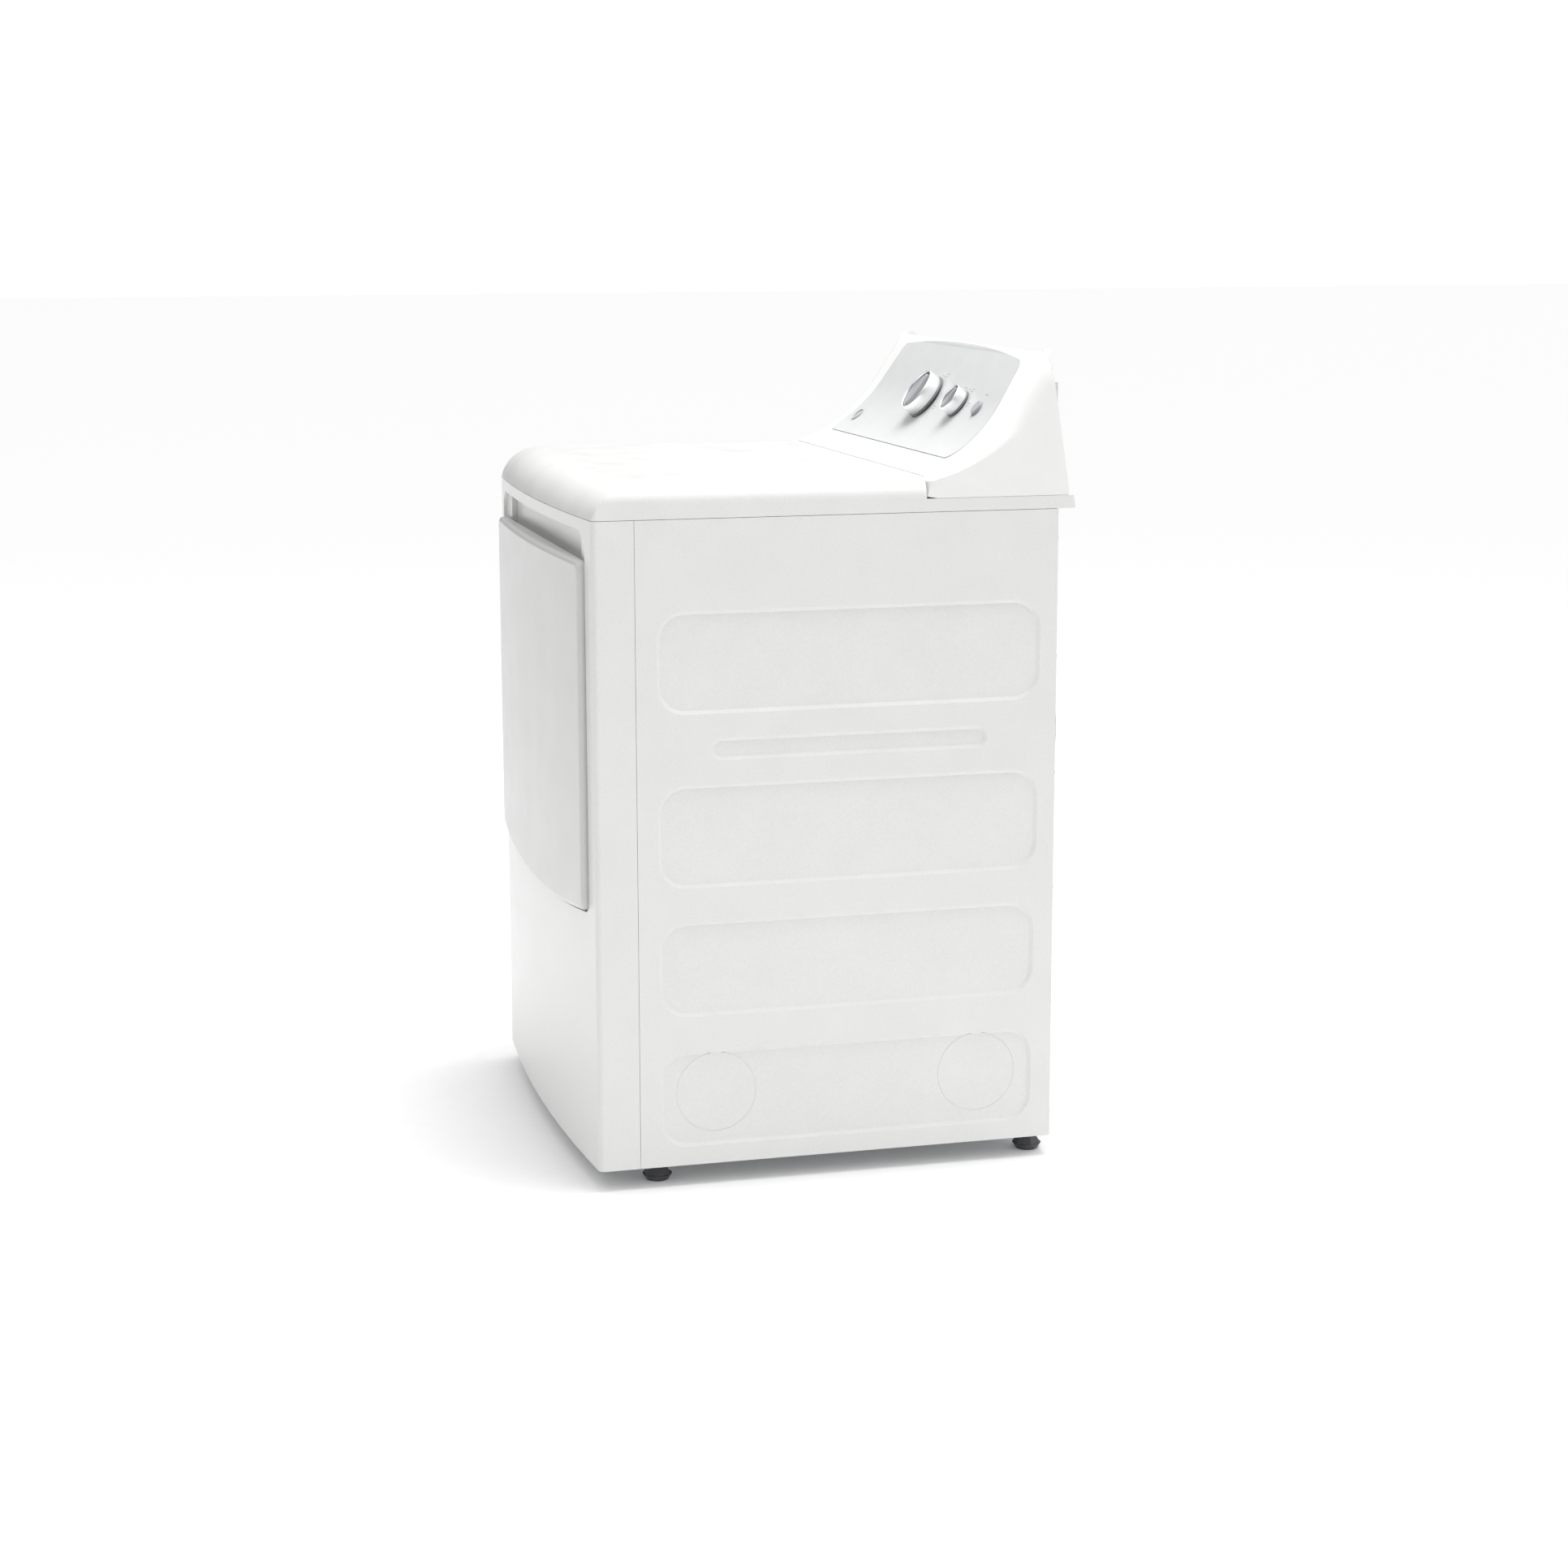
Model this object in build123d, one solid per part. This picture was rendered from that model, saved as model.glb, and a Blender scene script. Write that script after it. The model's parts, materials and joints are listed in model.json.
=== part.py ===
from build123d import *
import math
import os

os.makedirs("parts", exist_ok=True)

# A free-standing 27 inch vented clothes dryer, in millimetres, +Z up, front facing -Y.
# Lengths along Y are counted back from the cabinet's front corners. save() then moves every
# piece by ORIGIN_Y, so that the origin lies on the floor under the middle of the machine.

# ---- cabinet ----
WIDTH = 686.0
HALF = WIDTH / 2
FLOOR_GAP = 29.0
SEAM_Z = 900.0
TOP_Z = 946.0
BACK_Y = 635.5
SIDE_SEAM_Y = 55.7
SEAM_GAP = 0.5
BOW = 15.0
BOW_R = (HALF ** 2 + BOW ** 2) / (2 * BOW)
BOW_CENTRE_Y = BOW_R - BOW
CORNER_R = 8.0
STEEL = 1.0
FLANGE = 18.0
PAN_TOP_Z = 50.0

# ---- worktop and console ----
FRONT_ROLL = 62.0
ROLL_RUNOUT = FRONT_ROLL - math.sqrt(FRONT_ROLL ** 2 - (FRONT_ROLL - (TOP_Z - SEAM_Z)) ** 2)
SIDE_ROLL = 27.0
STEP_Y = 451.0
DECK_Z = 918.0
OVERHANG_Y = 659.6
FACE_R = 225.0
FACE_START_DEG = 17.0
FACE_END_DEG = 57.5
FACE_TOP_Z = 1097.0
CONSOLE_TOP_Z = 1110.0
CONSOLE_FRONT_Y = 452.0
CONSOLE_WALL = 2.5
CONSOLE_ROLL = 30.0
OVERLAY = 1.2
KNOB_Z = 1025.0
TIMER_X = -11.0
HEAT_X = 130.5
START_X = 212.0

# ---- door ----
DOOR_HALF = 305.0
DOOR_TOP_Z = 845.0
DOOR_CORNER_Z = 380.0
DOOR_SAG = 19.0
DOOR_PROUD = 9.0
DOOR_SKIN = 0.8
DOOR_BACK_Y = -2.0
DOOR_GAP = 3.0
RECESS_TOP_Z = 884.0
RECESS_Y = 2.0
POCKET_Y = 10.0
HINGE_X = -299.0
HINGE_Y = -7.5
HINGE_ZS = (450.0, 770.0)
PIN_R = 1.6
KNUCKLE_R = 2.9
LATCH_X = 262.0

# ---- opening, drum and drive ----
MOUTH_HALF = 215.0
MOUTH_LOW_Z = 440.0
MOUTH_HIGH_Z = 770.0
MOUTH_R = 90.0
BULKHEAD_Y = 44.0
AXIS_Z = 559.0
DRUM_R = 305.0
DRUM_FRONT_Y = 60.0
DRUM_BACK_Y = 590.0
RING_R = 291.0
SHAFT_R = 8.0
RUN = 0.05
BELT_Y = 330.0
BELT_WIDTH = 8.0
BELT_THICK = 2.0
BELT_LIFT = 0.4
PULLEY_R = 10.0
IDLER_R = 30.0
MOTOR_X = 130.0
MOTOR_Z = 152.0
MOTOR_R = 62.0
MOTOR_SHAFT_R = 6.0
IDLER_X = 188.3
IDLER_Z = 219.7
PIVOT_X = 255.0
PIVOT_Z = 110.0
DUCT_R = 50.8
DUCT_Z = 105.0
DUCT_END_Y = 676.0
DOME_R = 112.0
DOME_BACK_Y = 723.5
FOOT_X = 300.0
FOOT_YS = (87.7, 617.5)
CORD_X = -240.0
CORD_Z = 760.0
CORD_HOLE_R = 14.3

ORIGIN_Y = -((DOME_BACK_Y - BOW - DOOR_PROUD) / 2)


# ---- small helpers ----
def box(x0, x1, y0, y1, z0, z1):
    """A block between two corners."""
    middle = ((x0 + x1) / 2, (y0 + y1) / 2, (z0 + z1) / 2)
    return Pos(*middle) * Box(x1 - x0, y1 - y0, z1 - z0)


def rod(x, z, radius, y0, y1):
    """A cylinder that lies along Y."""
    return Pos(x, (y0 + y1) / 2, z) * Rot(90, 0, 0) * Cylinder(radius, y1 - y0)


def tube(x, z, inner, outer, y0, y1):
    """A pipe that lies along Y."""
    return rod(x, z, outer, y0, y1) - rod(x, z, inner, y0 - 1, y1 + 1)


def rod_x(y, z, radius, x0, x1):
    """A cylinder that lies along X."""
    return Pos((x0 + x1) / 2, y, z) * Rot(0, 90, 0) * Cylinder(radius, x1 - x0)


def post(x, y, radius, z0, z1):
    """An upright cylinder."""
    return Pos(x, y, (z0 + z1) / 2) * Cylinder(radius, z1 - z0)


def along_y(front_sketch, y0, y1):
    """Pushes a sketch drawn in front view, as (x, z), from y0 back to y1."""
    plane = Plane(origin=(0, y0, 0), x_dir=(1, 0, 0), z_dir=(0, -1, 0))
    return extrude(plane * front_sketch, -(y1 - y0))


def along_x(side_sketch, x0, x1):
    """Pushes a sketch drawn in side view, as (y, z), from x0 to x1."""
    plane = Plane(origin=(x0, 0, 0), x_dir=(0, 1, 0), z_dir=(1, 0, 0))
    return extrude(plane * side_sketch, x1 - x0)


def mirrored(shape):
    """The same piece on the other side of the machine."""
    return mirror(shape, about=Plane.YZ)


def save(shape, name):
    """Moves a piece into the machine's own frame and writes it."""
    export_step(Pos(0, ORIGIN_Y, 0) * shape, f"parts/{name}.step")


def group(pieces):
    """Several separate solids that share one node."""
    return Compound(children=list(pieces))


# ---- shared outlines ----
def plan_block(inset, back, z0, z1):
    """The cabinet's bowed plan outline, moved in by inset, as a block up to y = back."""
    reach = 100.0
    slab = Pos(0, (back - reach) / 2) * Rectangle(2 * (HALF - inset), back + reach)
    outline = slab & (Pos(0, BOW_CENTRE_Y) * Circle(BOW_R - inset))
    front = outline.vertices().sort_by(Axis.Y)[:2]
    outline = fillet(front, max(CORNER_R - inset, 1.0))
    return extrude(Pos(0, 0, z0) * outline, z1 - z0)


def bow_cylinder(extra, z0, z1):
    """The big upright cylinder whose front is the bowed face, moved out by extra."""
    return post(0, BOW_CENTRE_Y, BOW_R + extra, z0, z1)


def door_outline(grow, top_z, top_r, bottom_r):
    """Front view of the door: straight sides and top, a bottom edge that sags to the middle."""
    half = DOOR_HALF + grow
    low = DOOR_CORNER_Z - grow
    edges = Curve() + [
        Line((-half, low), (-half, top_z)),
        Line((-half, top_z), (half, top_z)),
        Line((half, top_z), (half, low)),
        ThreePointArc((half, low), (0, low - DOOR_SAG), (-half, low)),
    ]
    face = make_face(edges)
    by_height = face.vertices().sort_by(Axis.Y)
    face = fillet(by_height[:2], bottom_r)
    return fillet(face.vertices().sort_by(Axis.Y)[-2:], top_r)


def mouth(grow):
    """Front view of the laundry opening, moved out by grow."""
    height = MOUTH_HIGH_Z - MOUTH_LOW_Z + 2 * grow
    middle = (MOUTH_HIGH_Z + MOUTH_LOW_Z) / 2
    return Pos(0, middle) * RectangleRounded(2 * (MOUTH_HALF + grow), height, MOUTH_R + grow)


# ---- cabinet ----
def front_panel():
    """Bowed steel front that wraps both corners, with the door's recess pressed into it."""
    sheet = plan_block(0, SIDE_SEAM_Y, FLOOR_GAP, SEAM_Z)
    sheet -= plan_block(STEEL, SIDE_SEAM_Y + 5, FLOOR_GAP - 1, SEAM_Z + 1)
    hollow = plan_block(FLANGE, SIDE_SEAM_Y + 5, FLOOR_GAP - 1, SEAM_Z + 1)
    for z0 in (FLOOR_GAP, SEAM_Z - STEEL):
        sheet += plan_block(0, SIDE_SEAM_Y, z0, z0 + STEEL) - hollow
    for x0 in (-HALF + 0.5, HALF - 14.5):
        sheet += box(x0, x0 + 14, SIDE_SEAM_Y - STEEL, SIDE_SEAM_Y, PAN_TOP_Z + 2, SEAM_Z)
    reach = -60.0
    outer = door_outline(DOOR_GAP + STEEL, RECESS_TOP_Z + STEEL, 37.0, 19.0)
    inner = door_outline(DOOR_GAP, RECESS_TOP_Z, 36.0, 18.0)
    pan = along_y(outer, reach, RECESS_Y + STEEL) & bow_cylinder(0, 0, SEAM_Z)
    pocket_half = DOOR_HALF - 40.0
    pocket_low = DOOR_TOP_Z - 20.0
    pan += box(-pocket_half, pocket_half, -5, POCKET_Y + STEEL, pocket_low, RECESS_TOP_Z + STEEL)
    sheet -= along_y(inner, reach, 0)
    sheet += pan
    sheet -= along_y(inner, reach, RECESS_Y)
    room = POCKET_Y - 60
    sheet -= box(-pocket_half + STEEL, pocket_half - STEEL, room, POCKET_Y, pocket_low + STEEL,
                 RECESS_TOP_Z)
    sheet -= along_y(mouth(0), -5, RECESS_Y + 5)
    sheet -= box(LATCH_X - 9, LATCH_X + 9, -5, 5, 582, 618)
    return sheet - rod(LATCH_X, 700, 5.0, -5, 5)


def embossing(y0, y1, z0, z1, radius, depth):
    """A shallow pressed panel seen from the side: the raised inner block and the outer hollow."""
    slope = 5.0
    middle = ((y0 + y1) / 2, (z0 + z1) / 2)
    wide = Pos(*middle) * RectangleRounded(y1 - y0, z1 - z0, radius)
    tight = Pos(*middle) * RectangleRounded(y1 - y0 - 2 * slope, z1 - z0 - 2 * slope, radius - slope)
    faces = []
    for x, sketch in ((0.0, wide), (-depth, tight)):
        plane = Plane(origin=(x, 0, 0), x_dir=(0, 1, 0), z_dir=(1, 0, 0))
        faces.append(plane * sketch)
    return loft(faces, ruled=True)


def side_panel():
    """Right-hand side: a folded sheet with five pressed panels and two vent knockouts."""
    front = SIDE_SEAM_Y + SEAM_GAP
    depth = 3.0
    sheet = box(HALF - STEEL, HALF, front, BACK_Y, FLOOR_GAP, SEAM_Z)
    sheet += box(HALF - 14, HALF - 0.5, front, front + STEEL, PAN_TOP_Z + 2, SEAM_Z)
    sheet += box(HALF - 25, HALF - 0.5, BACK_Y - STEEL, BACK_Y, PAN_TOP_Z + 2, SEAM_Z)
    for z0 in (FLOOR_GAP, SEAM_Z - STEEL):
        sheet += box(HALF - FLANGE, HALF - 0.5, front, BACK_Y, z0, z0 + STEEL)
    panels = [
        (84, 612, 643.5, 780, 38.0),
        (156, 538.5, 581, 611, 14.9),
        (84, 611, 410, 549, 38.0),
        (84, 608, 234.5, 364, 38.0),
        (84, 607, 54.5, 186, 38.0),
    ]
    for y0, y1, z0, z1, radius in panels:
        pressed = embossing(y0, y1, z0, z1, radius, depth)
        sheet += Pos(HALF - STEEL, 0, 0) * pressed
        sheet -= Pos(HALF, 0, 0) * pressed
    floor_x = HALF - depth
    for y in (161.0, 528.0):
        groove = rod_x(y, 128.5, 55.4, floor_x - 0.4, floor_x + 1)
        sheet -= groove - rod_x(y, 128.5, 54.4, floor_x - 1, floor_x + 2)
    for _, y, z in screw_places():
        sheet -= rod(HALF - 12, z, 2.1, y - 3, y + 3)
    return sheet


def screw_places():
    """Where the rear panel's screws go, as (x, y, z) on its outer face."""
    places = []
    for x in (-(HALF - 12), HALF - 12):
        for row in range(6):
            places.append((x, BACK_Y + 0.8, 60.0 + row * 160.0))
    return places


def rear_panel():
    """Galvanised back with the heater opening, the vent hole, ribs and the cord hole."""
    panel = box(-338, 338, BACK_Y, BACK_Y + 0.8, 35, 895)
    for z in (240.0, 300.0, 760.0 + 60, 860.0):
        panel += box(-200, 200, BACK_Y + 0.8, BACK_Y + 2.4, z - 6, z + 6)
    panel -= rod(0, AXIS_Z, 100.0, BACK_Y - 5, BACK_Y + 5)
    panel -= rod(0, DUCT_Z, DUCT_R + 1.2, BACK_Y - 5, BACK_Y + 5)
    panel -= rod(CORD_X, CORD_Z, CORD_HOLE_R, BACK_Y - 5, BACK_Y + 5)
    for x, y, z in screw_places():
        panel -= rod(x, z, 2.1, y - 5, y + 5)
    return panel


def screws():
    """Hex-headed sheet-metal screws that hold the back on."""
    heads = []
    for x, y, z in screw_places():
        head = Pos(x, y + 3, z) * Rot(90, 0, 0) * extrude(RegularPolygon(4.6, 6), 3)
        heads.append(head + rod(x, z, 2.0, y - 7, y + 1))
    return group(heads)


def base_pan():
    """Tray that carries the drive and ties the cabinet's foot together."""
    z0 = FLOOR_GAP + STEEL + 0.2
    tray = box(-341.8, 341.8, 20, BACK_Y - 1.2, z0, PAN_TOP_Z)
    tray -= box(-340.6, 340.6, 21.2, BACK_Y - 2.4, z0 + 1.2, 60)
    for x in (-FOOT_X, FOOT_X):
        for y in FOOT_YS:
            tray -= post(x, y, 7.0, z0 - 2, z0 + 4)
    return tray


def corner_brackets():
    """Four threaded corner plates that the levelling feet screw into."""
    z0 = FLOOR_GAP + STEEL + 1.4
    plates = []
    for side in (-1, 1):
        for y, reach in zip(FOOT_YS, (1, -1)):
            x = side * FOOT_X
            front = y - 30
            back = y + (30 if reach > 0 else 13)
            plate = box(x - 34, x + 34, front, back, z0, z0 + 5)
            plate += post(x, y, 11.0, z0, z0 + 12)
            plates.append(plate - post(x, y, 5.0 + RUN, z0 - 1, z0 + 20))
    return group(plates)


def worktop_block(inset, bottom_z):
    """The worktop's outer form, moved in by inset: bowed plan, rolled front and rolled sides."""
    top = TOP_Z - inset
    slack = 0.05
    block = plan_block(inset - slack, OVERHANG_Y + 20, bottom_z, TOP_Z + 1)
    rolled = post(0, BOW_CENTRE_Y, BOW_R + ROLL_RUNOUT - inset, top - FRONT_ROLL - 10, top)
    rolled = fillet(rolled.edges().group_by(Axis.Z)[-1], FRONT_ROLL - inset)
    side_r = SIDE_ROLL - inset
    half = HALF - inset
    arch = Pos(0, (top + bottom_z - 60) / 2) * Rectangle(2 * half, top - bottom_z + 60)
    arch = fillet(arch.vertices().sort_by(Axis.Y)[-2:], side_r)
    block = block & rolled & along_y(arch, -100, OVERHANG_Y + 30)
    lean = Polyline((-90, 880), (OVERHANG_Y - inset, 880), (OVERHANG_Y - inset, SEAM_Z),
                    (OVERHANG_Y - inset - 3.4, DECK_Z), (OVERHANG_Y - inset - 3.4, 970),
                    (-90, 970), close=True)
    block = block & along_x(make_face(lean), -400, 400)
    return block - box(-400, 400, STEP_Y - inset, 800, DECK_Z - inset, 990)


def top_panel():
    """Pressed steel worktop, stepped down under the console, with a turned-in lower edge."""
    gap = 0.6
    bottom = SEAM_Z + gap
    shell = worktop_block(0, bottom) - worktop_block(STEEL, bottom - 5)
    lip = plan_block(STEEL / 2, OVERHANG_Y - 1, bottom, bottom + STEEL)
    return shell + (lip - plan_block(13, OVERHANG_Y - 13, bottom - 5, bottom + 5))


# ---- console ----
FACE_A = math.radians(FACE_START_DEG)
FACE_B = math.radians(FACE_END_DEG)
FACE_CY = CONSOLE_FRONT_Y - FACE_R * math.sin(FACE_A)
FACE_CZ = TOP_Z + FACE_R * math.cos(FACE_A)


def face_point(angle):
    """A point of the swept face, as (y, z), at an angle round its centre of curvature."""
    return (FACE_CY + FACE_R * math.sin(angle), FACE_CZ - FACE_R * math.cos(angle))


def console_profile():
    """Side view of the console: concave face, rounded crest and a leaning back."""
    start = face_point(FACE_A)
    middle = face_point((FACE_A + FACE_B) / 2)
    end = face_point(FACE_B)
    along = (FACE_TOP_Z - end[1]) / math.sin(FACE_B)
    crest = (end[0] + along * math.cos(FACE_B), FACE_TOP_Z)
    top = (crest[0] + 17.0, CONSOLE_TOP_Z)
    back_top = (639.0, 1099.0)
    foot = DECK_Z + 0.3
    outline = Curve() + [
        Line((CONSOLE_FRONT_Y, foot), start),
        ThreePointArc(start, middle, end),
        Line(end, crest),
        ThreePointArc(crest, (crest[0] + 7.0, CONSOLE_TOP_Z - 3.8), top),
        ThreePointArc(top, (top[0] + 7.5, CONSOLE_TOP_Z - 3.2), back_top),
        Line(back_top, (651.0, foot)),
        Line((651.0, foot), (CONSOLE_FRONT_Y, foot)),
    ]
    return make_face(outline)


def console_solid(inset=0.0, half=HALF - 0.5):
    """The whole console as one block, straight from end to end."""
    face = console_profile()
    if inset:
        face = offset(face, -inset)
    return along_x(face, -half, half)


def console_block():
    """The console with its soft ends: a roll along the face and rounded upper corners."""
    half = HALF - 0.5
    block = console_solid()
    roll_edges = []
    for edge in block.edges():
        middle = edge.center()
        at_end = abs(abs(middle.X) - half) < 0.1
        if at_end and edge.length > 45 and middle.Z > DECK_Z + 40 and middle.Y < 630:
            roll_edges.append(edge)
    block = fillet(roll_edges, CONSOLE_ROLL)
    arch = Pos(0, CONSOLE_TOP_Z - 150) * Rectangle(2 * half, 300)
    arch = fillet(arch.vertices().sort_by(Axis.Y)[-2:], CONSOLE_ROLL + 4)
    return block & along_y(arch, 400, 700)


def on_face(x, z, height):
    """A place on the swept face, seen along the face's own normal, height above it."""
    drop = FACE_CZ - z
    angle = math.acos(drop / FACE_R)
    y = FACE_CY + FACE_R * math.sin(angle)
    normal = (0, -math.sin(angle), math.cos(angle))
    spot = (x, y + normal[1] * height, z + normal[2] * height)
    return Plane(origin=spot, x_dir=(1, 0, 0), z_dir=normal)


def peg(x, z, radius, low, high):
    """A cylinder that stands square to the console's face between two heights."""
    return extrude(on_face(x, z, low) * Circle(radius), high - low)


def face_block(x, z, wide, tall, low, high):
    """A block that stands square to the console's face between two heights."""
    return extrude(on_face(x, z, low) * Rectangle(wide, tall), high - low)


def face_holes():
    """Clearance holes for both spindles and the start button."""
    holes = peg(TIMER_X, KNOB_Z, 5.0, -8, 8)
    holes += peg(HEAT_X, KNOB_Z, 5.0, -8, 8)
    return holes + peg(START_X, KNOB_Z, 11.0, -8, 8)


def console_hollow():
    """The space inside the console: four nested blocks that step round the rolled ends."""
    half = HALF - 0.5
    room = None
    for step in range(4):
        angle = math.radians(30 * step)
        drop = CONSOLE_ROLL * (1 - math.cos(angle))
        end = CONSOLE_WALL + CONSOLE_ROLL * (1 - math.sin(angle))
        level = console_solid(CONSOLE_WALL, half - end)
        if drop > 0.1:
            level &= Pos(0, drop * 0.75, -drop * 0.75) * console_solid(CONSOLE_WALL, half)
        room = level if room is None else room + level
    return room


def console_body():
    """Moulded console shell, open below and behind, with softly rolled ends."""
    inner_half = HALF - 3
    shell = console_block() - console_hollow()
    shell -= box(-inner_half, inner_half, CONSOLE_FRONT_Y + 3, 646, DECK_Z - 5, DECK_Z + 4)
    shell -= box(-301, 301, 625, 660, DECK_Z - 5, 1066)
    return shell.solids().sort_by(SortBy.VOLUME)[-1] - face_holes()


def console_overlay():
    """Light grey faceplate that follows the face, with an arched top edge."""
    lift = OVERLAY
    block = console_solid()
    lean = math.radians(40)
    skin = Pos(0, -lift * math.sin(lean), lift * math.cos(lean)) * block - block
    edge = Curve() + [
        Line((-290, 966), (290, 966)),
        Line((290, 966), (264, 1093)),
        ThreePointArc((264, 1093), (0, 1105), (-264, 1093)),
        Line((-264, 1093), (-290, 966)),
    ]
    outline = make_face(edge)
    outline = fillet(outline.vertices(), 12)
    plate = skin & along_y(outline, 470, 640)
    return plate.solids().sort_by(SortBy.VOLUME)[-1] - face_holes()


def console_rear_cover():
    """Folded steel cover that closes the back of the console."""
    cover = box(-300, 300, 646.5, 647.5, DECK_Z + 0.5, 1065)
    cover += box(-300, 300, 634, 647.5, 1064, 1065)
    for x0 in (-300.0, 299.0):
        cover += box(x0, x0 + 1, 634, 647, 960, 1064.5)
    return cover


def knob_seat(radius):
    """How far above the face a flat knob sits, so that the hollow face clears its rim."""
    return OVERLAY + 0.8 + radius ** 2 / (2 * FACE_R)


def knob(x, radius, height):
    """Moulded knob with a skirt, a raised grip bar and a spindle that enters the switch."""
    low = knob_seat(radius)
    body = peg(x, KNOB_Z, radius, low, low + 3)
    body += peg(x, KNOB_Z, radius * 0.84, low + 2, low + height * 0.78)
    body += face_block(x, KNOB_Z, radius * 0.2, radius * 1.62, low + height * 0.7, low + height)
    return body + peg(x, KNOB_Z, 4.0, -18, low + 1)


def knob_ring(x, radius, height):
    """Bright metal-finished ring round the knob."""
    low = knob_seat(radius) + 3
    ring = peg(x, KNOB_Z, radius * 0.97, low, low - 3 + height)
    ring = chamfer(ring.edges().group_by(Axis((0, 0, 0), on_face(x, KNOB_Z, 0).z_dir))[-1], 1.4)
    return ring - peg(x, KNOB_Z, radius * 0.84, low - 1, low + height + 5)


def switch_box(x, wide, deep, start):
    """A switch body behind the face, with a bore for the knob's spindle."""
    block = face_block(x, KNOB_Z, wide, wide, -start - deep, -start)
    return block - peg(x, KNOB_Z, 4.0 + RUN, -20, 5)


def start_button():
    """Round push button with a guided stem."""
    button = peg(START_X, KNOB_Z, 10.5, -6, OVERLAY + 5)
    top = button.faces().sort_by(Axis((0, 0, 0), on_face(START_X, KNOB_Z, 0).z_dir))[-1]
    return fillet(top.edges(), 1.2)


# ---- door ----
def door_block(inset):
    """The door as a lens: flat behind, bowed in front, softened round its front edge."""
    reach = -60.0
    outline = door_outline(-inset, DOOR_TOP_Z - inset, 14.0 - inset, 15.0 - inset)
    back = DOOR_BACK_Y + (5.0 if inset else 0.0)
    block = along_y(outline, reach, back) & bow_cylinder(DOOR_PROUD - inset, 300, 900)
    front = [e for e in block.edges() if e.center().Y < -8 and e.bounding_box().max.Y < -9]
    return fillet(front, 7.0 - inset)


def hinge_notches():
    """Gaps in the door's hinge edge where the fixed knuckles stand."""
    gaps = []
    for z in HINGE_ZS:
        gaps.append(box(-310, HINGE_X + 4.5, -10.6, 5, z - 10, z + 10))
    return gaps


def door_outer_panel():
    """Bowed painted skin of the door, folded back round its edge."""
    skin = door_block(0) - door_block(DOOR_SKIN)
    for gap in hinge_notches():
        skin -= gap
    return skin


def door_inner_panel():
    """Flat inner panel with a pan that fills the laundry opening."""
    back = DOOR_BACK_Y + STEEL
    outline = door_outline(-1.0, DOOR_TOP_Z - 1, 13.0, 14.0)
    panel = along_y(outline, DOOR_BACK_Y, back)
    panel += along_y(mouth(-14), DOOR_BACK_Y, 17)
    panel -= along_y(mouth(-15), DOOR_BACK_Y - 5, 16)
    for gap in hinge_notches():
        panel -= gap
    return panel


def door_seal():
    """Rubber ring on the inner panel, just clear of the cabinet's recess."""
    return along_y(mouth(18) - mouth(8), DOOR_BACK_Y + STEEL, RECESS_Y - 0.3)


def knuckle(z0, z1, bore):
    """One rolled knuckle of a hinge."""
    return post(HINGE_X, HINGE_Y, KNUCKLE_R, z0, z1) - post(HINGE_X, HINGE_Y, bore, z0 - 1, z1 + 1)


def frame_hinge_leaves():
    """Fixed leaves: one knuckle each, a web straight back and a plate on the recess."""
    leaves = []
    for z in HINGE_ZS:
        leaf = box(HINGE_X - 1, HINGE_X + 1, HINGE_Y + 1, RECESS_Y, z - 8, z + 8)
        leaf += box(HINGE_X - 1, HINGE_X + 34, RECESS_Y - 1, RECESS_Y, z - 8, z + 8)
        leaf += post(HINGE_X, HINGE_Y, KNUCKLE_R, z - 8, z + 8)
        leaves.append(leaf - post(HINGE_X, HINGE_Y, PIN_R, z - 9, z + 9))
    return group(leaves)


def door_hinge_leaves():
    """Moving leaves: two knuckles each, welded to the door's inner panel."""
    leaves = []
    for z in HINGE_ZS:
        leaf = box(HINGE_X + 5, HINGE_X + 40, DOOR_BACK_Y - 1, DOOR_BACK_Y, z - 24, z + 24)
        for z0 in (z - 24, z + 11):
            web = box(HINGE_X, HINGE_X + 6, HINGE_Y + 1.8, HINGE_Y + 2.8, z0, z0 + 13)
            web += box(HINGE_X + 5, HINGE_X + 6, HINGE_Y + 1.8, DOOR_BACK_Y, z0, z0 + 13)
            web += post(HINGE_X, HINGE_Y, KNUCKLE_R, z0, z0 + 13)
            leaf += web - post(HINGE_X, HINGE_Y, PIN_R + RUN, z0 - 1, z0 + 14)
        leaves.append(leaf)
    return group(leaves)


def hinge_pins():
    """Two upright pins, tight in the fixed knuckles."""
    return group(post(HINGE_X, HINGE_Y, PIN_R, z - 26, z + 26) for z in HINGE_ZS)


def door_strike():
    """Tongue on the door that the catch grips."""
    back = DOOR_BACK_Y + STEEL
    tongue = box(LATCH_X - 4, LATCH_X + 4, back, back + 1.5, 570, 630)
    tongue += box(LATCH_X - 1, LATCH_X + 1, back, 13, 590, 610)
    return tongue + post(LATCH_X, 11.5, 2.2, 590, 610)


def door_catch():
    """Catch block with two sprung cheeks, behind the recess."""
    block = box(LATCH_X - 13, LATCH_X + 13, RECESS_Y + STEEL, 24, 578, 622)
    return block - box(LATCH_X - 6, LATCH_X + 6, -5, 18, 586, 614)


def door_switch():
    """Switch block behind the recess, bored for its plunger."""
    block = box(LATCH_X - 12, LATCH_X + 12, RECESS_Y + STEEL, 26, 686, 714)
    return block - rod(LATCH_X, 700, 3.0 + RUN, -5, 22)


def door_switch_plunger():
    """Round plunger that the closed door holds in."""
    return rod(LATCH_X, 700, 3.0, DOOR_BACK_Y + STEEL + 0.3, 16)


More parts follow.
